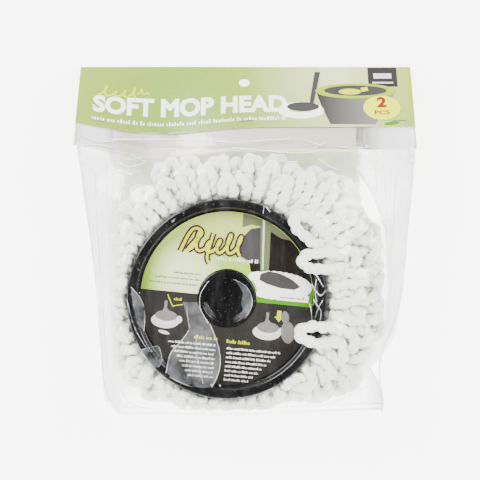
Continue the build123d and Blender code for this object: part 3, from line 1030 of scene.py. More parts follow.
def insert_card():
    """The loose instruction card: its print is drawn on the CAD card."""

    def lay(design, ink, lift):
        design.lay(on_insert, lift, INKS[ink], "insert", "printed_insert")

    wear(nodes["insert_card"], insert_board())
    edge = INSERT_RADIUS / MM - 0.4
    ground = [
        (20.6, 1.4), (22.0, 8.0), (19.5, 14.5), (14.5, 20.5),
        (12.5, 28.0), (9.0, 34.0), (13.0, 47.0), (22.0, 50.0),
    ]
    lay(Print("insert_picture_ground").outline(ground + arc_points(edge, 62, 1.5, 24)), "brown", 0.03)
    bucket = [(4.0, 31.0), (7.5, 44.0), (12.0, 49.5), (20.5, 51.5), (21.5, 26.0), (14.0, 26.5)]
    lay(Print("insert_picture_bucket").outline(bucket), "dark_grey", 0.09)
    leaf = [(6.0, 50.0), (5.6, 59.0)] + arc_points(edge, 84, 47, 12)
    leaf += [(33.0, 45.0), (22.0, 51.0), (12.0, 52.5)]
    lay(Print("insert_picture_leaf").outline(leaf), "dark_green", 0.06)
    band = [(20.8, -0.8), (59.2, -0.8), (59.0, 10.0), (57.6, 15.0), (53.0, 12.0), (20.8, 1.6)]
    lay(Print("insert_green_band").outline(band), "green", 0.09)
    fringe_picture = Print("insert_picture_fringe")
    for i in range(34):
        angle = math.radians(-178 + 356 * i / 34)
        px, py = 32.5 + 22.0 * math.cos(angle), 12.0 + 7.0 * math.sin(angle)
        if math.hypot(px, py) > 23.0:
            fringe_picture.ellipse(px, py, 3.4, 3.0, 0, 14)
    rim = [(32.5 + 22.0 * math.cos(t / 20), 12.0 + 7.2 * math.sin(t / 20)) for t in range(-62, 63)]
    rim = [point for point in rim if math.hypot(*point) > 21.8]
    first, last = (math.degrees(math.atan2(y, x)) for x, y in (rim[0], rim[-1]))
    fringe_picture.outline(rim + arc_points(21.8, last, first, 8)[1:-1])
    lay(fringe_picture, "white", 0.15)
    plate = [
        (21.0, 15.0), (21.5, 19.0), (27.0, 21.4), (35.0, 20.6), (44.0, 17.0),
        (50.0, 12.6), (46.0, 10.2), (36.0, 10.4), (26.0, 12.6),
    ]
    lay(Print("insert_picture_plate").outline(plate), "dark_grey", 0.21)
    handle = [(18.0, 57.0), (25.5, 54.6), (27.0, 22.0), (21.0, 20.4)]
    lay(Print("insert_picture_handle").outline(handle), "dark_green", 0.27)
    handle_light = [(19.6, 56.4), (21.2, 56.0), (23.2, 22.0), (22.2, 22.0)]
    lay(Print("insert_picture_handle_light").outline(handle_light), "light_grey", 0.33)
    word = scribble(-30.0, 30.5, 36.0, 15.0, 5, 21)
    start = [(-35.5, 29.5), (-30.5, 44.5), (-24.5, 47.2), (-20.5, 43.0), (-26.5, 37.5), (-31.0, 30.5)]
    tail = [(-13.5, 44.0), (-15.8, 34.0), (-17.0, 25.0), (-15.0, 23.6)]
    for label, pen, tail_pen, ink, lift in (
        ("insert_word_shadow", 4.4, 4.2, "purple", 0.30),
        ("insert_word", 1.9, 1.7, "yellow", 0.42),
    ):
        lay(Print(label).stroke(start, pen).stroke(word, pen).stroke(tail, tail_pen), ink, lift)
    lay(Print("insert_label").bar(45.7, 4.4, 21.6, 4.6), "white", 0.27)
    lay(Print("insert_label_lines").fine_lines(36.6, 4.4, 18.0, 1, 3, 1.5, 4), "red_brown", 0.36)
    dark = Print("insert_bullets").fine_lines(-38.8, 14.6, 20.0, 1, 3, 1.4, 5)
    dark.fine_lines(-51.0, 10.8, 32.0, 1, 3, 1.5, 6).fine_lines(-54.6, 7.0, 34.0, 1, 3, 1.5, 7)
    lay(dark, "dark_green", 0.05)
    white = Print("insert_small_print").fine_lines(-10.5, 27.2, 29.0, 1, 3, 2.5, 11)
    white.fine_lines(-37.5, -33.3, 32.5, 8, 3.15, 1.5, 12, 2.2, True)
    white.fine_lines(3.2, -34.4, 37.0, 8, 3.1, 1.5, 13, 2.9)
    lay(white, "white", 0.45)
    yellow = Print("insert_headings").fine_lines(-20.1, -28.6, 15.6, 1, 3, 2.4, 14)
    yellow.fine_lines(2.6, -29.6, 15.2, 1, 3, 2.4, 15)
    angle_mark = [(-41.2, -1.2), (-39.2, -5.2), (-37.2, -9.0), (-36.8, -9.0), (-33.5, -8.0), (-30.0, -7.3)]
    yellow.stroke(angle_mark, 0.6)
    yellow.fine_lines(-36.6, -3.8, 5.2, 1, 3, 2.0, 16)
    arrow = [
        (35.6, -5.2), (38.6, -5.2), (38.6, -9.4), (40.2, -9.4), (37.1, -13.0), (34.0, -9.4), (35.6, -9.4),
    ]
    yellow.outline(arrow)
    lay(yellow, "yellow", 0.10)
    rings, plates = Print("insert_drawn_rings"), Print("insert_drawn_plates")
    for x, y in DRAWN_HEADS_MM:
        rings.ellipse(x, y, 9.7, 5.2).ellipse(x + 9.6, y + 1.6, 2.2, 2.6)
        plates.ellipse(x + 0.6, y + 3.6, 7.6, 3.7).bar(x - 0.4, y + 10.0, 2.0, 8.0)
        plates.outline([(x - 3.2, y + 5.4), (x - 1.6, y + 8.6), (x + 1.2, y + 8.6), (x + 3.4, y + 5.4)])
    rings.ellipse(-41.5, -27.6, 4.0, 1.2, -12)
    lay(rings, "light_grey", 0.10)
    plates.ellipse(44.2, -19.7, 4.8, 7.6, 8).ellipse(41.5, -9.6, 2.6, 4.6, 10)
    lay(plates, "grey", 0.17)
    teeth = Print("insert_drawn_teeth")
    for x, y in DRAWN_HEADS_MM:
        for i in range(5):
            teeth.bar(x - 3.4 + 1.8 * i, y - 0.9 - 0.35 * (2 - abs(i - 2)), 1.0, 1.2, 10 * (i - 2))
    lay(teeth, "white", 0.24)


# ---- bag film

# The bag's outline and folds: places along it, and the edge, height or tuck at each, in millimetres
LEFT_SIDE = (
    [-126, -121, -113, -80, -35, 5, 37, 67, 94],
    [-88, -93, -100, -102, -105, -110, -115, -117.5, -119],
)
RIGHT_SIDE = (
    [-126, -113, -101, -90, -80, -66, -35, 5, 37, 66, 94],
    [98.5, 98, 95, 88, 97, 105.5, 111, 114, 117.4, 118.6, 119],
)
FRONT_EDGE = ([-126, -122, -108, -90, 40, 60], [15.3, 21, 29, 31.5, 32.5, 35.0])
BACK_EDGE = ([-126, -122, -108, -90, 25, 60], [14.9, 11, 16, 19.5, 19.5, 30.0])
LEFT_TUCK = ([-126, -118, -90, -35, 10, 40, 70, 94], [0.5, 9, 9, 12, 20, 24, 24, 24])
RIGHT_TUCK = ([-126, -118, -90, -35, 5, 30, 48, 70, 94], [0.5, 7, 7, 10, 15, 26, 39, 41, 41])
BAG_LOW_MM, BAG_HIGH_MM = -126.0, 92.0
CELL_MM = 2.0
DRAPE_ROUNDS = 2600
WELD_HEIGHT_MM = 15.5
WELD_ROW_MM = 16.0
JOIN_MM = (52.0, 14.0)  # where the film's edge starts to follow the card, and over what length
FRONT_LAYER_MM = -BOARD_MM - 0.2
SEAM_LAYER_MM = -BOARD_MM - 0.45
EDGE_LAYER_MM = -BOARD_MM - 0.7
BACK_LAYER_MM = -BOARD_MM - 0.75


def side_edge(table, y):
    return np.interp(y, *table)


def obstacle_map(xs, ys, loops):
    """Height of what lies under the front film, over a grid of places, in millimetres."""
    heights = np.full((len(ys), len(xs)), 0.0)
    gx, gy = np.meshgrid(xs, ys)
    reach_cells = 2
    points = np.concatenate([resample(loop, 2.0) for loop in loops])
    px = points[:, 0] + FRONT_AXIS.x / MM
    py = points[:, 1] + FRONT_AXIS.y / MM
    pz = points[:, 2] + FRONT_FLOOR / MM
    column = np.round((px - xs[0]) / CELL_MM).astype(int)
    row = np.round((py - ys[0]) / CELL_MM).astype(int)
    for i in range(-reach_cells, reach_cells + 1):
        for j in range(-reach_cells, reach_cells + 1):
            c, r = column + i, row + j
            fits = (c >= 0) & (c < len(xs)) & (r >= 0) & (r < len(ys))
            away = (xs[c[fits]] - px[fits]) ** 2 + (ys[r[fits]] - py[fits]) ** 2
            tall = pz[fits] + np.sqrt(np.clip((CORD_MM / 2 + 0.3) ** 2 - away, 0, None))
            tall = np.where(away < (CORD_MM / 2 + 0.3) ** 2, tall, 0)
            np.maximum.at(heights, (r[fits], c[fits]), tall)
    radius = np.hypot(gx - FRONT_AXIS.x / MM, gy - FRONT_AXIS.y / MM)
    rim = (radius > PAN_MM - 1) & (radius < RIM_MM + 1)
    heights = np.where(rim, np.maximum(heights, RIM_TOP / MM + 0.2), heights)
    for node, turn in STRAY_TURNS:
        centre = middle(f"front_stray_loop_{node}") / MM
        cosine, sine = math.cos(math.radians(turn)), math.sin(math.radians(turn))
        along = (gx - centre.x) * cosine + (gy - centre.y) * sine
        across = -(gx - centre.x) * sine + (gy - centre.y) * cosine
        lying = ((along - 1) / 17.0) ** 4 + (across / 8.6) ** 4 < 1
        heights = np.where(lying, np.maximum(heights, 58.2), heights)
    return heights


def draped(xs, ys, obstacles):
    """A taut film over the obstacles: heights relax to their neighbours' mean and never go below."""
    gx, gy = np.meshgrid(xs, ys)
    left, right = side_edge(LEFT_SIDE, gy), side_edge(RIGHT_SIDE, gy)
    card_edge = FOLD_Y_MM - FRONT_PANEL_MM * np.cos(card_tilt(gx))
    in_card = gy > card_edge - 0.5
    card_layer = card_height(gx, gy, FRONT_LAYER_MM)
    panel_edge = FOLD_Y_MM - BACK_PANEL_MM * np.cos(card_tilt(gx)) - 1.0
    over_panel = (gy > panel_edge) & ~in_card
    panel_top = card_height(gx, gy, -BOARD_MM - PANEL_GAP_MM + 0.5)
    floor = np.where(over_panel, np.maximum(obstacles, panel_top), obstacles)
    outside = (gx <= left + 0.6) | (gx >= right - 0.6)
    join = np.clip((gy - JOIN_MM[0]) / JOIN_MM[1], 0, 1)
    edge = side_edge(FRONT_EDGE, gy) * (1 - join) + card_height(gx, gy, FRONT_LAYER_MM) * join
    film = np.maximum(floor, 45.0)
    fixed = outside | in_card
    pinned = np.where(in_card, card_layer, edge)
    film = np.where(fixed, pinned, film)
    film[0, :] = WELD_ROW_MM
    for _ in range(DRAPE_ROUNDS):
        mean = film.copy()
        mean[1:-1, 1:-1] = (film[:-2, 1:-1] + film[2:, 1:-1] + film[1:-1, :-2] + film[1:-1, 2:]) / 4
        film = np.where(fixed, pinned, np.maximum(mean, floor))
        film[0, :] = WELD_ROW_MM
    return film


def bilinear(grid, xs, ys, x, y):
    column = np.clip((x - xs[0]) / CELL_MM, 0, len(xs) - 1.001)
    row = np.clip((y - ys[0]) / CELL_MM, 0, len(ys) - 1.001)
    c, r = column.astype(int), row.astype(int)
    fx, fy = column - c, row - r
    low = grid[r, c] * (1 - fx) + grid[r, c + 1] * fx
    high = grid[r + 1, c] * (1 - fx) + grid[r + 1, c + 1] * fx
    return low * (1 - fy) + high * fy


def crumple(x, y, seed, amount):
    """Sharp folds in many directions, as in thin film that has been handled."""
    random = np.random.default_rng(seed)
    total = np.zeros_like(x)
    for _ in range(9):
        angle = random.uniform(0, math.pi)
        wave = random.uniform(17, 52)
        bend = random.uniform(2, 7) * np.sin(x / random.uniform(22, 48) + random.uniform(0, 6))
        bend += random.uniform(2, 7) * np.sin(y / random.uniform(22, 48) + random.uniform(0, 6))
        phase = (x * math.cos(angle) + y * math.sin(angle) + bend) / wave + random.uniform(0, 1)
        fold = np.abs(phase - np.floor(phase) - 0.5) * 2
        total += (fold**1.6 - 0.4) * wave * 0.014 * amount
    return total


def bag(loops):
    """The clear bag: front, back and two tucked side gussets, sealed at its weld and inside the card."""
    xs = np.arange(-124, 125, CELL_MM)
    ys = np.arange(-128, 97, CELL_MM)
    film = draped(xs, ys, obstacle_map(xs, ys, loops))
    across, tucked, behind, rows = 144, 8, 144, 172
    # columns run round the bag: front, right gusset, back, left gusset
    around = across + tucked + behind + tucked
    shape = bmesh.new()
    bmesh.ops.create_grid(shape, x_segments=around, y_segments=rows, size=1.0)
    sheet = from_bmesh("bag_film", shape)
    flat = get_points(sheet.data)
    u = np.round((flat[:, 0] + 1) / 2 * around).astype(int) % around
    v = (flat[:, 1] + 1) / 2
    y = BAG_LOW_MM + v * (BAG_HIGH_MM - BAG_LOW_MM)
    left, right = side_edge(LEFT_SIDE, y), side_edge(RIGHT_SIDE, y)
    sealed = (v <= 0) | (v >= 1)
    left_tuck = np.where(sealed, 0.0, side_edge(LEFT_TUCK, y))
    right_tuck = np.where(sealed, 0.0, side_edge(RIGHT_TUCK, y))
    on_front = u <= across
    on_right = (u > across) & (u < across + tucked)
    on_back = (u >= across + tucked) & (u <= across + tucked + behind)
    s_front = u / across
    s_right = (u - across) / tucked
    s_back = (u - across - tucked) / behind
    s_left = (u - across - tucked - behind) / tucked
    x = np.where(on_front, left + (right - left) * s_front, 0.0)
    x = np.where(on_back, right + (left - right) * s_back, x)
    fold_right = 1 - np.abs(2 * s_right - 1)
    fold_left = 1 - np.abs(2 * s_left - 1)
    on_left = ~(on_front | on_right | on_back)
    x = np.where(on_right, right - right_tuck * fold_right, x)
    x = np.where(on_left, left + left_tuck * fold_left, x)
    join = np.clip((y - JOIN_MM[0]) / JOIN_MM[1], 0, 1)
    front_edge = side_edge(FRONT_EDGE, y) * (1 - join) + card_height(x, y, FRONT_LAYER_MM) * join
    back_edge = side_edge(BACK_EDGE, y) * (1 - join) + card_height(x, y, EDGE_LAYER_MM) * join
    y = y + (1 - np.clip((y - BAG_LOW_MM) / 14, 0, 1)) * (3.4 * (x + 90) / 190)
    inward = np.clip(np.minimum(x - left, right - x) / 10, 0, 1)
    slack = inward * np.clip((y - BAG_LOW_MM) / 12, 0, 1) * np.clip((78 - y) / 14, 0, 1)
    pan = np.hypot(x - FRONT_AXIS.x / MM, y - FRONT_AXIS.y / MM) < PAN_MM - 4
    front = bilinear(film, xs, ys, x, y)
    ripple = crumple(x, y, 4, 1.0)
    front = front + slack * np.where(pan, ripple * 0.9, ripple * 0.55 + 0.35)
    front = np.where((s_front <= 0) | (s_front >= 1), front_edge, front)
    panel_edge = FOLD_Y_MM - BACK_PANEL_MM * np.cos(card_tilt(x)) - 0.8
    panel_z = card_height(x, panel_edge, BACK_LAYER_MM)
    ramp = np.clip((y - 44) / (panel_edge - 44), 0, 1)
    from_side = np.minimum(x - left, right - x)
    lift = np.clip(1 - from_side / 11, 0, 1) ** 1.4
    rise = np.clip(1 - (y - BAG_LOW_MM) / 6, 0, 1)
    ground = 0.25 + (back_edge - 0.25) * lift
    ground = ground + (15.0 - ground) * rise
    wrinkle = np.abs(crumple(x, y, 9, 0.5)) * inward
    back = ground + wrinkle
    back = back + (panel_z - back) * ramp**1.3
    back = np.where(y > panel_edge, card_height(x, y, BACK_LAYER_MM), back)
    middle_z = (front_edge + back_edge) / 2
    side_share = np.where(on_right, s_right, 1 - s_left)
    side_z = np.where(
        side_share < 0.5,
        front_edge + (middle_z - front_edge) * side_share * 2,
        middle_z + (back_edge - middle_z) * (side_share * 2 - 1),
    )
    z = np.where(on_front, front, np.where(on_back, back, side_z))
    z = np.where(v <= 0, WELD_HEIGHT_MM, np.where(v >= 1, card_height(x, y, SEAM_LAYER_MM), z))
    set_points(sheet.data, np.stack([x, y, np.maximum(z, 0.1)], 1))
    near_side = np.maximum(
        1 - (x - left) / (side_edge(LEFT_TUCK, y) + 8),
        1 - (right - x) / (np.minimum(side_edge(RIGHT_TUCK, y), 26) + 8),
    )
    cloud = np.clip(near_side * 2.2, 0, 1) * np.clip((y - BAG_LOW_MM) / 8, 0.3, 1)
    attribute = sheet.data.attributes.new("cloud", "FLOAT", "POINT")
    attribute.data.foreach_set("value", cloud.astype(np.float32))
    closed = bmesh.new()
    closed.from_mesh(sheet.data)
    bmesh.ops.remove_doubles(closed, verts=closed.verts, dist=2e-6)
    bmesh.ops.recalc_face_normals(closed, faces=closed.faces)
    closed.to_mesh(sheet.data)
    closed.free()
    sheet.data.polygons.foreach_set("use_smooth", [True] * len(sheet.data.polygons))
    wear(sheet, clear_film())
    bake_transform(sheet)
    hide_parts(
        "bag_front_film", "bag_back_film", "bag_gusset_left", "bag_gusset_right",
        "bag_bottom", "bag_neck", "bag_mouth",
    )

    def on_film(x, y, lift):
        return x, y, bilinear(film, xs, ys, x, y) + crumple(x, y, 4, 1.0) * 0.6 + lift

    film_folds(on_film)


def clear_film():
    """Thin clear film: mostly see-through, milky near its folded sides, with sharp glints on its creases."""
    make = Finish("clear_film")
    where = make.place()
    crinkle = make.noise(where, 70.0, 4.0, 0.6)
    streaks = make.noise(make.stretch(where, (1, 0.2, 1)), 160.0, 3.0, 0.6)
    bent = make.bump(crinkle * 0.7 + streaks * 0.3, 0.0014, 0.5)
    mirror = make.add(
        "ShaderNodeBsdfAnisotropic", {}, {"Color": (1, 1, 1, 1), "Roughness": 0.08, "Normal": bent}
    )
    clear = make.add("ShaderNodeBsdfTransparent", {}, {"Color": (0.99, 0.99, 0.99, 1)})
    facing = make.add("ShaderNodeLayerWeight", {}, {"Blend": 0.5, "Normal": bent}, 1)
    shine = facing.math("POWER", 4.0) * 0.8 + 0.06
    glass = make.add("ShaderNodeMixShader", {}, {0: shine.clamp(), 1: clear, 2: mirror})
    haze = make.add("ShaderNodeBsdfDiffuse", {}, {"Color": (1.0, 1.0, 1.0, 1)})
    milky = make.add("ShaderNodeAttribute", {"attribute_name": "cloud"}, {}, 2)
    patches = make.noise(make.stretch(where, (1, 0.4, 1)), 30.0, 3.0)
    cloudy = milky * (patches * 0.5 + 0.12) + (streaks - 0.5).clamp() * 0.04 + 0.002
    return make.done(make.add("ShaderNodeMixShader", {}, {0: cloudy.clamp(), 1: glass, 2: haze}))


def painted_light_finish(name, colour, least, most):
    """Painted light on film that is creased or doubled over: see-through, mixed by noise with a flat colour
    under a glossy finish, for painted glints, painted shade and painted reflections.
    """
    make = Finish(name)
    patches = make.noise(make.place(), 55.0, 3.0, 0.6)
    clear = make.add("ShaderNodeBsdfTransparent", {}, {"Color": (1, 1, 1, 1)})
    painted_tone = make.shader(Base_Color=colour, Roughness=patches * 0.2 + 0.15)
    share = (patches - 0.35) * 3.0 * (most - least) + least
    return make.done(make.add("ShaderNodeMixShader", {}, {0: share.clamp(), 1: clear, 2: painted_tone}))


# Each crease line, drawn as a painted glint (and for the side and neck creases with a painted shade stroke
# beside it), is a stroke's width and the places that it passes over, in millimetres
PLEAT_EDGE_GLINTS_MM = (
    (0.5, [(-38.9, -61.7), (-43.7, -69.2), (-50.6, -75.4), (-53.3, -82.2), (-54.7, -91.1)]),
    (0.5, [(-24.6, -57.5), (-19.8, -68.5), (-17.0, -80.8), (-18.4, -91.8), (-23.2, -100.7)]),
    (0.3, [(-52.0, -93.8), (-45.1, -98.0), (-36.9, -100.7)]),
    (0.3, [(-40.3, -45.2), (-40.3, -52.7), (-38.2, -60.3)]),
    (0.35, [(-32.1, -45.2), (-30.0, -50.7), (-25.2, -56.9)]),
    (0.25, [(-33.5, -64.4), (-34.8, -76.7), (-31.4, -89.1), (-29.3, -98.6)]),
    (0.25, [(-38.2, -71.9), (-42.4, -82.2), (-39.6, -94.5)]),
    (0.3, [(-71.8, -75.4), (-65.7, -73.3), (-60.2, -72.6)]),
    (0.35, [(-59.5, -73.3), (-55.4, -83.6), (-60.2, -87.0)]),
    (0.3, [(-78.7, -32.2), (-72.5, -38.4), (-68.4, -49.3), (-69.8, -62.3)]),
    (0.3, [(-81.4, -41.1), (-78.7, -53.4), (-73.9, -65.8), (-66.3, -76.7)]),
    (0.3, [(-8.8, -26.7), (-1.9, -29.5), (2.9, -34.9), (4.9, -42.5), (2.9, -48.6), (-0.6, -53.4)]),
    (0.3, [(-25.2, -28.1), (-30.0, -33.6), (-32.1, -41.1), (-30.7, -49.3), (-25.9, -56.9)]),
    (1.0, [(-50.6, 12.3), (-47.2, 15.8), (-42.4, 18.5)]),
    (0.7, [(13.8, 22.6), (16.6, 19.2)]),
    (0.3, [(12.4, 23.3), (11.8, 17.8)]),
    (0.8, [(46.0, -21.2), (49.4, -26.0), (52.9, -32.2)]),
    (0.8, [(44.6, -30.1), (48.1, -35.6), (51.5, -39.0), (54.2, -34.2)]),
    (0.8, [(46.0, -40.4), (48.7, -45.2), (52.2, -49.3), (49.4, -58.2)]),
    (0.5, [(48.1, -26.7), (46.0, -34.2), (48.1, -41.8)]),
    (0.5, [(52.2, -41.1), (48.1, -47.3), (46.7, -54.8)]),
    (0.5, [(43.3, -43.2), (45.3, -50.0), (44.6, -56.2)]),
)
SIDE_CREASE_GLINT_SHADE_MM = (
    (0.6, [(-89.3, 59.4), (-85.1, 57.3), (-80.9, 55.9), (-71.8, 58.0)]),
    (0.6, [(-90.0, 54.5), (-85.1, 52.4), (-80.2, 50.3), (-70.4, 53.8)]),
    (0.5, [(-90.7, 48.9), (-86.5, 46.8), (-81.6, 44.7), (-73.2, 48.2)]),
    (0.4, [(-80.2, 60.8), (-76.0, 56.6), (-69.7, 54.5)]),
    (0.5, [(-92.8, 61.5), (-93.5, 45.4), (-92.8, 28.0), (-94.2, 5.6)]),
    (0.5, [(70.8, 62.2), (75.7, 60.8), (77.8, 56.6), (77.8, 34.9)]),
    (0.5, [(95.4, 55.2), (98.1, 27.6), (95.4, -13.8), (91.2, -41.4)]),
    (0.5, [(88.5, 55.2), (91.9, 44.8), (89.8, 30.4)]),
    (0.6, [(105.0, 48.3), (102.9, 17.2), (100.2, -15.2), (98.1, -53.8)]),
    (0.4, [(99.5, 51.7), (101.6, 37.9), (98.1, 17.2), (100.9, 0.0)]),
    (0.4, [(87.1, -6.9), (92.6, -34.5), (95.4, -62.1), (87.1, -77.3)]),
    (0.5, [(-106.1, 34.5), (-102.7, -6.9), (-99.9, -48.3), (-97.8, -89.7)]),
    (0.4, [(-97.8, 55.2), (-95.1, 6.9), (-93.7, -41.4), (-91.6, -96.6)]),
    (0.5, [(-108.9, 51.7), (-104.0, 46.9), (-106.8, 35.9), (-102.0, 27.6)]),
    (0.5, [(-89.4, -98.0), (-86.6, -109.2), (-79.6, -116.2), (-67.0, -119.0)]),
    (0.4, [(-67.0, -110.6), (-32.0, -114.8), (10.0, -116.2), (59.0, -114.8)]),
    (0.5, [(85.6, -86.8), (89.8, -95.2), (94.0, -106.4), (96.8, -119.0)]),
    (0.4, [(59.0, -113.4), (73.0, -109.2), (85.6, -100.8)]),
    (0.5, [(16.8, 57.0), (25.9, 53.5), (36.3, 54.2)]),
    (0.5, [(50.2, 57.0), (55.8, 51.4), (64.1, 48.6)]),
    (0.4, [(-64.7, 30.4), (-59.2, 36.6), (-51.6, 40.7)]),
)
NECK_CREASE_GLINT_SHADE_MM = (
    (0.9, [(-94.9, 70.9), (-73.9, 71.6), (-46.6, 71.3), (-21.5, 69.2), (1.6, 68.5)]),
    (0.7, [(-11.0, 67.8), (4.4, 68.9), (18.4, 70.2), (31.6, 70.9)]),
    (0.8, [(-9.6, 64.3), (11.4, 62.2), (33.7, 60.1), (43.5, 60.8), (51.9, 62.2)]),
    (0.5, [(39.3, 71.3), (46.3, 67.8), (54.7, 65.7)]),
    (0.5, [(56.1, 68.5), (50.5, 65.7), (44.9, 62.2)]),
    (0.6, [(-114.4, 73.4), (-107.5, 69.2), (-97.7, 68.5), (-90.7, 70.6)]),
    (0.5, [(-113.0, 65.7), (-103.3, 67.8), (-93.5, 65.0)]),
    (0.5, [(63.1, 65.7), (74.3, 63.6), (86.9, 65.7), (96.7, 63.6)]),
    (0.5, [(99.5, 71.3), (105.0, 67.1), (110.6, 62.9)]),
    (0.4, [(-66.9, 62.9), (-48.7, 65.0), (-28.5, 62.2)]),
)
# Outlines of painted reflections: milky grey patches where the film over the disc reflects the soft boxes, in
# millimetres
PLEAT_REFLECTION_MM = [
    (-43.0, -42.5), (-33.5, -42.5), (-30.0, -50.7), (-24.6, -58.2), (-19.8, -69.2), (-17.0, -80.8),
    (-18.4, -91.8), (-21.8, -100.0), (-29.3, -101.4), (-38.2, -100.0), (-47.8, -96.6), (-54.7, -90.4),
    (-53.3, -82.2), (-51.3, -76.0), (-44.4, -69.9), (-38.9, -63.0), (-40.3, -53.4),
]
RIM_REFLECTION_MM = [
    (-78.7, -32.9), (-72.5, -38.4), (-68.4, -49.3),
    (-69.8, -61.7), (-74.6, -57.5), (-77.3, -45.2),
]
HUB_REFLECTION_MM = [
    (-6.7, -28.1), (-1.3, -30.8), (3.5, -37.0), (4.2, -43.8), (1.5, -51.4), (-1.9, -48.6),
    (-3.3, -43.2), (-1.9, -36.3), (-4.0, -32.2),
]
CORNER_REFLECTION_MM = [(-71.8, -75.4), (-60.2, -72.6), (-55.4, -83.6), (-65.7, -89.7)]
SHADE_SHIFT_MM = 0.55


def film_folds(on_film):
    """Painted glints and painted shade along the film's creases and folded edges, and painted reflections on
    its doubled-over patches, as fine pieces lying on it.
    """
    # Painted light on the film: white painted glints, grey painted shade and milky grey painted reflections.
    bright = painted_light_finish("film_crease_bright", rgb(250, 250, 252), 0.3, 1.0)
    shaded = painted_light_finish("film_crease_shaded", rgb(120, 122, 126), 0.1, 0.55)
    milky = painted_light_finish("film_painted_reflection", rgb(225, 227, 232), 0.0, 0.07)

    def crease_glint_and_shade(name, rows, shadow=True, light=None):
        """Painted glints as bright strokes, each with a painted shade stroke in grey beside it, where a fold
        turns away from the light.
        """
        for finish, material, shift in (("bright", light or bright, 0.0), ("shaded", shaded, SHADE_SHIFT_MM)):
            design = Print(f"{name}_{finish}")
            for width, points in rows:
                design.stroke([(x + shift, y - shift) for x, y in points], width)
            piece = design.lay(on_film, 0.4 - shift * 0.2, material, None, "clear_film")
            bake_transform(piece)
            if not shadow:
                break

    # Painted reflections: milky grey patches where the folded film over the disc reflects the soft boxes.
    panels = Print("film_painted_reflections").outline(PLEAT_REFLECTION_MM).outline(RIM_REFLECTION_MM)
    panels.outline(HUB_REFLECTION_MM).outline(CORNER_REFLECTION_MM)
    panels.lay(on_film, 0.35, milky, "pack", "clear_film")
    # Painted glints along the pleat's edges, round the hub and over the rim.
    pleat_edge_glint = painted_light_finish("film_painted_pleat_glint", rgb(235, 237, 240), 0.0, 0.6)
    crease_glint_and_shade("film_disc_creases", PLEAT_EDGE_GLINTS_MM, False, pleat_edge_glint)
    heights = (-122, -108, -84, -50, -10, 20, 48)
    edges = [
        (0.5, [(float(side_edge(LEFT_SIDE, y)) + 0.8, y) for y in heights]),
        (0.5, [(float(side_edge(RIGHT_SIDE, y)) - 1.4, y) for y in heights]),
        (0.5, [(-90.0, -122.8), (-30.0, -121.4), (30.0, -120.4), (96.0, -119.4)]),
        (0.4, [(-88.0, -118.2), (-30.0, -117.0), (30.0, -116.0), (96.0, -115.2)]),
    ]
    crease_glint_and_shade("film_side_creases", list(SIDE_CREASE_GLINT_SHADE_MM) + edges)
    crease_glint_and_shade("film_neck_creases", NECK_CREASE_GLINT_SHADE_MM)


def steel():
    """Bright staple wire with drawn streaks."""
    make = Finish("staple_wire")
    streak = make.noise(make.stretch(make.place(), (0.2, 1, 1)), 3000.0, 2.0)
    tone = make.mix(streak, rgb(120, 120, 122), rgb(176, 177, 180))
    return make.done(make.shader(Base_Color=tone, Metallic=1.0, Roughness=streak * 0.2 + 0.3))


def woven_tape():
    """White binding tape with a fine plain weave."""
    make = Finish("woven_tape")
    x, y, _ = make.parts(make.place())
    weave = make.add("ShaderNodeMath", {"operation": "SINE"}, {0: x * 6000.0})
    weave = weave * make.add("ShaderNodeMath", {"operation": "SINE"}, {0: y * 6000.0})
    tone = make.mix(weave * 0.5 + 0.5, rgb(214, 214, 208), rgb(240, 240, 236))
    return make.done(make.shader(Base_Color=tone, Roughness=0.9, Normal=make.bump(weave, 0.0002, 0.5)))


WHITE_CORD = microfibre()
front_loops = fringe(
    "front", FRONT_AXIS, FRONT_FLOOR, 1, FRONT_REACH_MM, LAYERS_MM, 40, 11, 9.8, 160, WHITE_CORD
)
fringe("rear", REAR_AXIS, REAR_FLOOR, -1, REAR_REACH_MM, LAYERS_MM, 38, 23, 7.6, 130, WHITE_CORD)
stray_loops(WHITE_CORD)
discs()
header_card()
header_print()
insert_card()
bag(front_loops)
wear(nodes["staples"], steel())
TAPE = woven_tape()
for head in ("front", "rear"):
    wear(nodes[f"{head}_binding_tape"], TAPE)
    wear(nodes[f"{head}_inner_strands"], WHITE_CORD)


# ---- camera, light and floor (kept plain)


CAMERA_PLACE = (-0.004, 0.0, 0.85)
CAMERA_LENS = 87.4
# Edges of the painted shadow on the light table under the bag, in metres
UNDER_LEFT, UNDER_RIGHT, UNDER_LOW, UNDER_HIGH = -0.0985, 0.0845, -0.116, 0.068
SOFT_BOXES = (  # place, size in metres, watts
    ("key", (-0.85, 0.75, 0.95), 0.75, 54),
    ("fill", (0.95, 0.55, 0.9), 0.75, 38),
    ("low_left", (-0.8, -0.85, 0.85), 0.6, 34),
    ("low_right", (0.85, -0.8, 0.85), 0.6, 32),
)


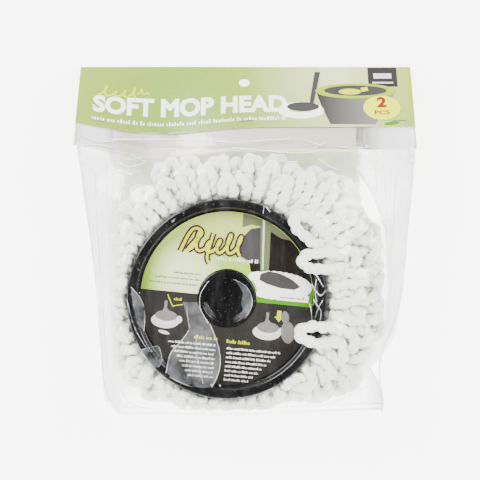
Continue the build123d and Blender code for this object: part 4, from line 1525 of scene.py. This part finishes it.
def studio():
    """A white light table, with a painted shadow under the bag, in a room with pale low walls and a dark
    ceiling, and four soft boxes.
    """
    shape = bmesh.new()
    bmesh.ops.create_grid(shape, x_segments=1, y_segments=1, size=3.0)
    floor = from_bmesh("floor", shape, False)
    floor.location.z = -0.0005
    make = Finish("floor_white")
    tone = make.mix(make.noise(make.place(), 3.0), rgb(248, 248, 248), rgb(253, 253, 253))
    x, y, _ = make.parts(make.place())
    # painted shadow: the table glows less under the bag, within the bag's outline
    under = ((x - UNDER_LEFT) * 400).clamp() * ((UNDER_RIGHT - x) * 400).clamp()
    under = under * ((UNDER_HIGH - y) * 250).clamp()
    under = under * ((y - UNDER_LOW) * 60).clamp()
    glow = make.mix(under, (1, 1, 1, 1), (0.05, 0.05, 0.05, 1))
    table = make.shader(
        Base_Color=tone, Roughness=0.8, Specular_IOR_Level=0.2, Emission_Color=glow, Emission_Strength=3.6
    )
    wear(floor, make.done(table))
    camera_data = bpy.data.cameras.new("camera")
    camera_data.lens = CAMERA_LENS
    camera_data.sensor_width = 36
    camera = mesh_object("camera", camera_data)
    camera.location = CAMERA_PLACE
    bpy.context.scene.camera = camera
    world = bpy.data.worlds.new("room")
    bpy.context.scene.world = world
    world.use_nodes = True
    tree = world.node_tree
    direction = tree.nodes.new("ShaderNodeTexCoord")
    height = tree.nodes.new("ShaderNodeSeparateXYZ")
    brightness = tree.nodes.new("ShaderNodeMapRange")
    brightness.interpolation_type = "SMOOTHSTEP"
    for socket, value in (("From Min", 0.0), ("From Max", 0.45), ("To Min", 2.6), ("To Max", 0.0125)):
        brightness.inputs[socket].default_value = value
    tree.links.new(direction.outputs["Generated"], height.inputs[0])
    tree.links.new(height.outputs["Z"], brightness.inputs["Value"])
    tree.nodes["Background"].inputs["Color"].default_value = (1, 1, 1, 1)
    tree.links.new(brightness.outputs[0], tree.nodes["Background"].inputs["Strength"])
    for name, place, size, power in SOFT_BOXES:
        light = bpy.data.lights.new(name, "AREA")
        light.size = size
        light.energy = power
        lamp = mesh_object(name, light)
        lamp.location = place
        lamp.visible_glossy = not name.startswith("low")
        lamp.rotation_euler = (Vector((0, 0, 0)) - Vector(place)).to_track_quat("-Z", "Y").to_euler()


studio()
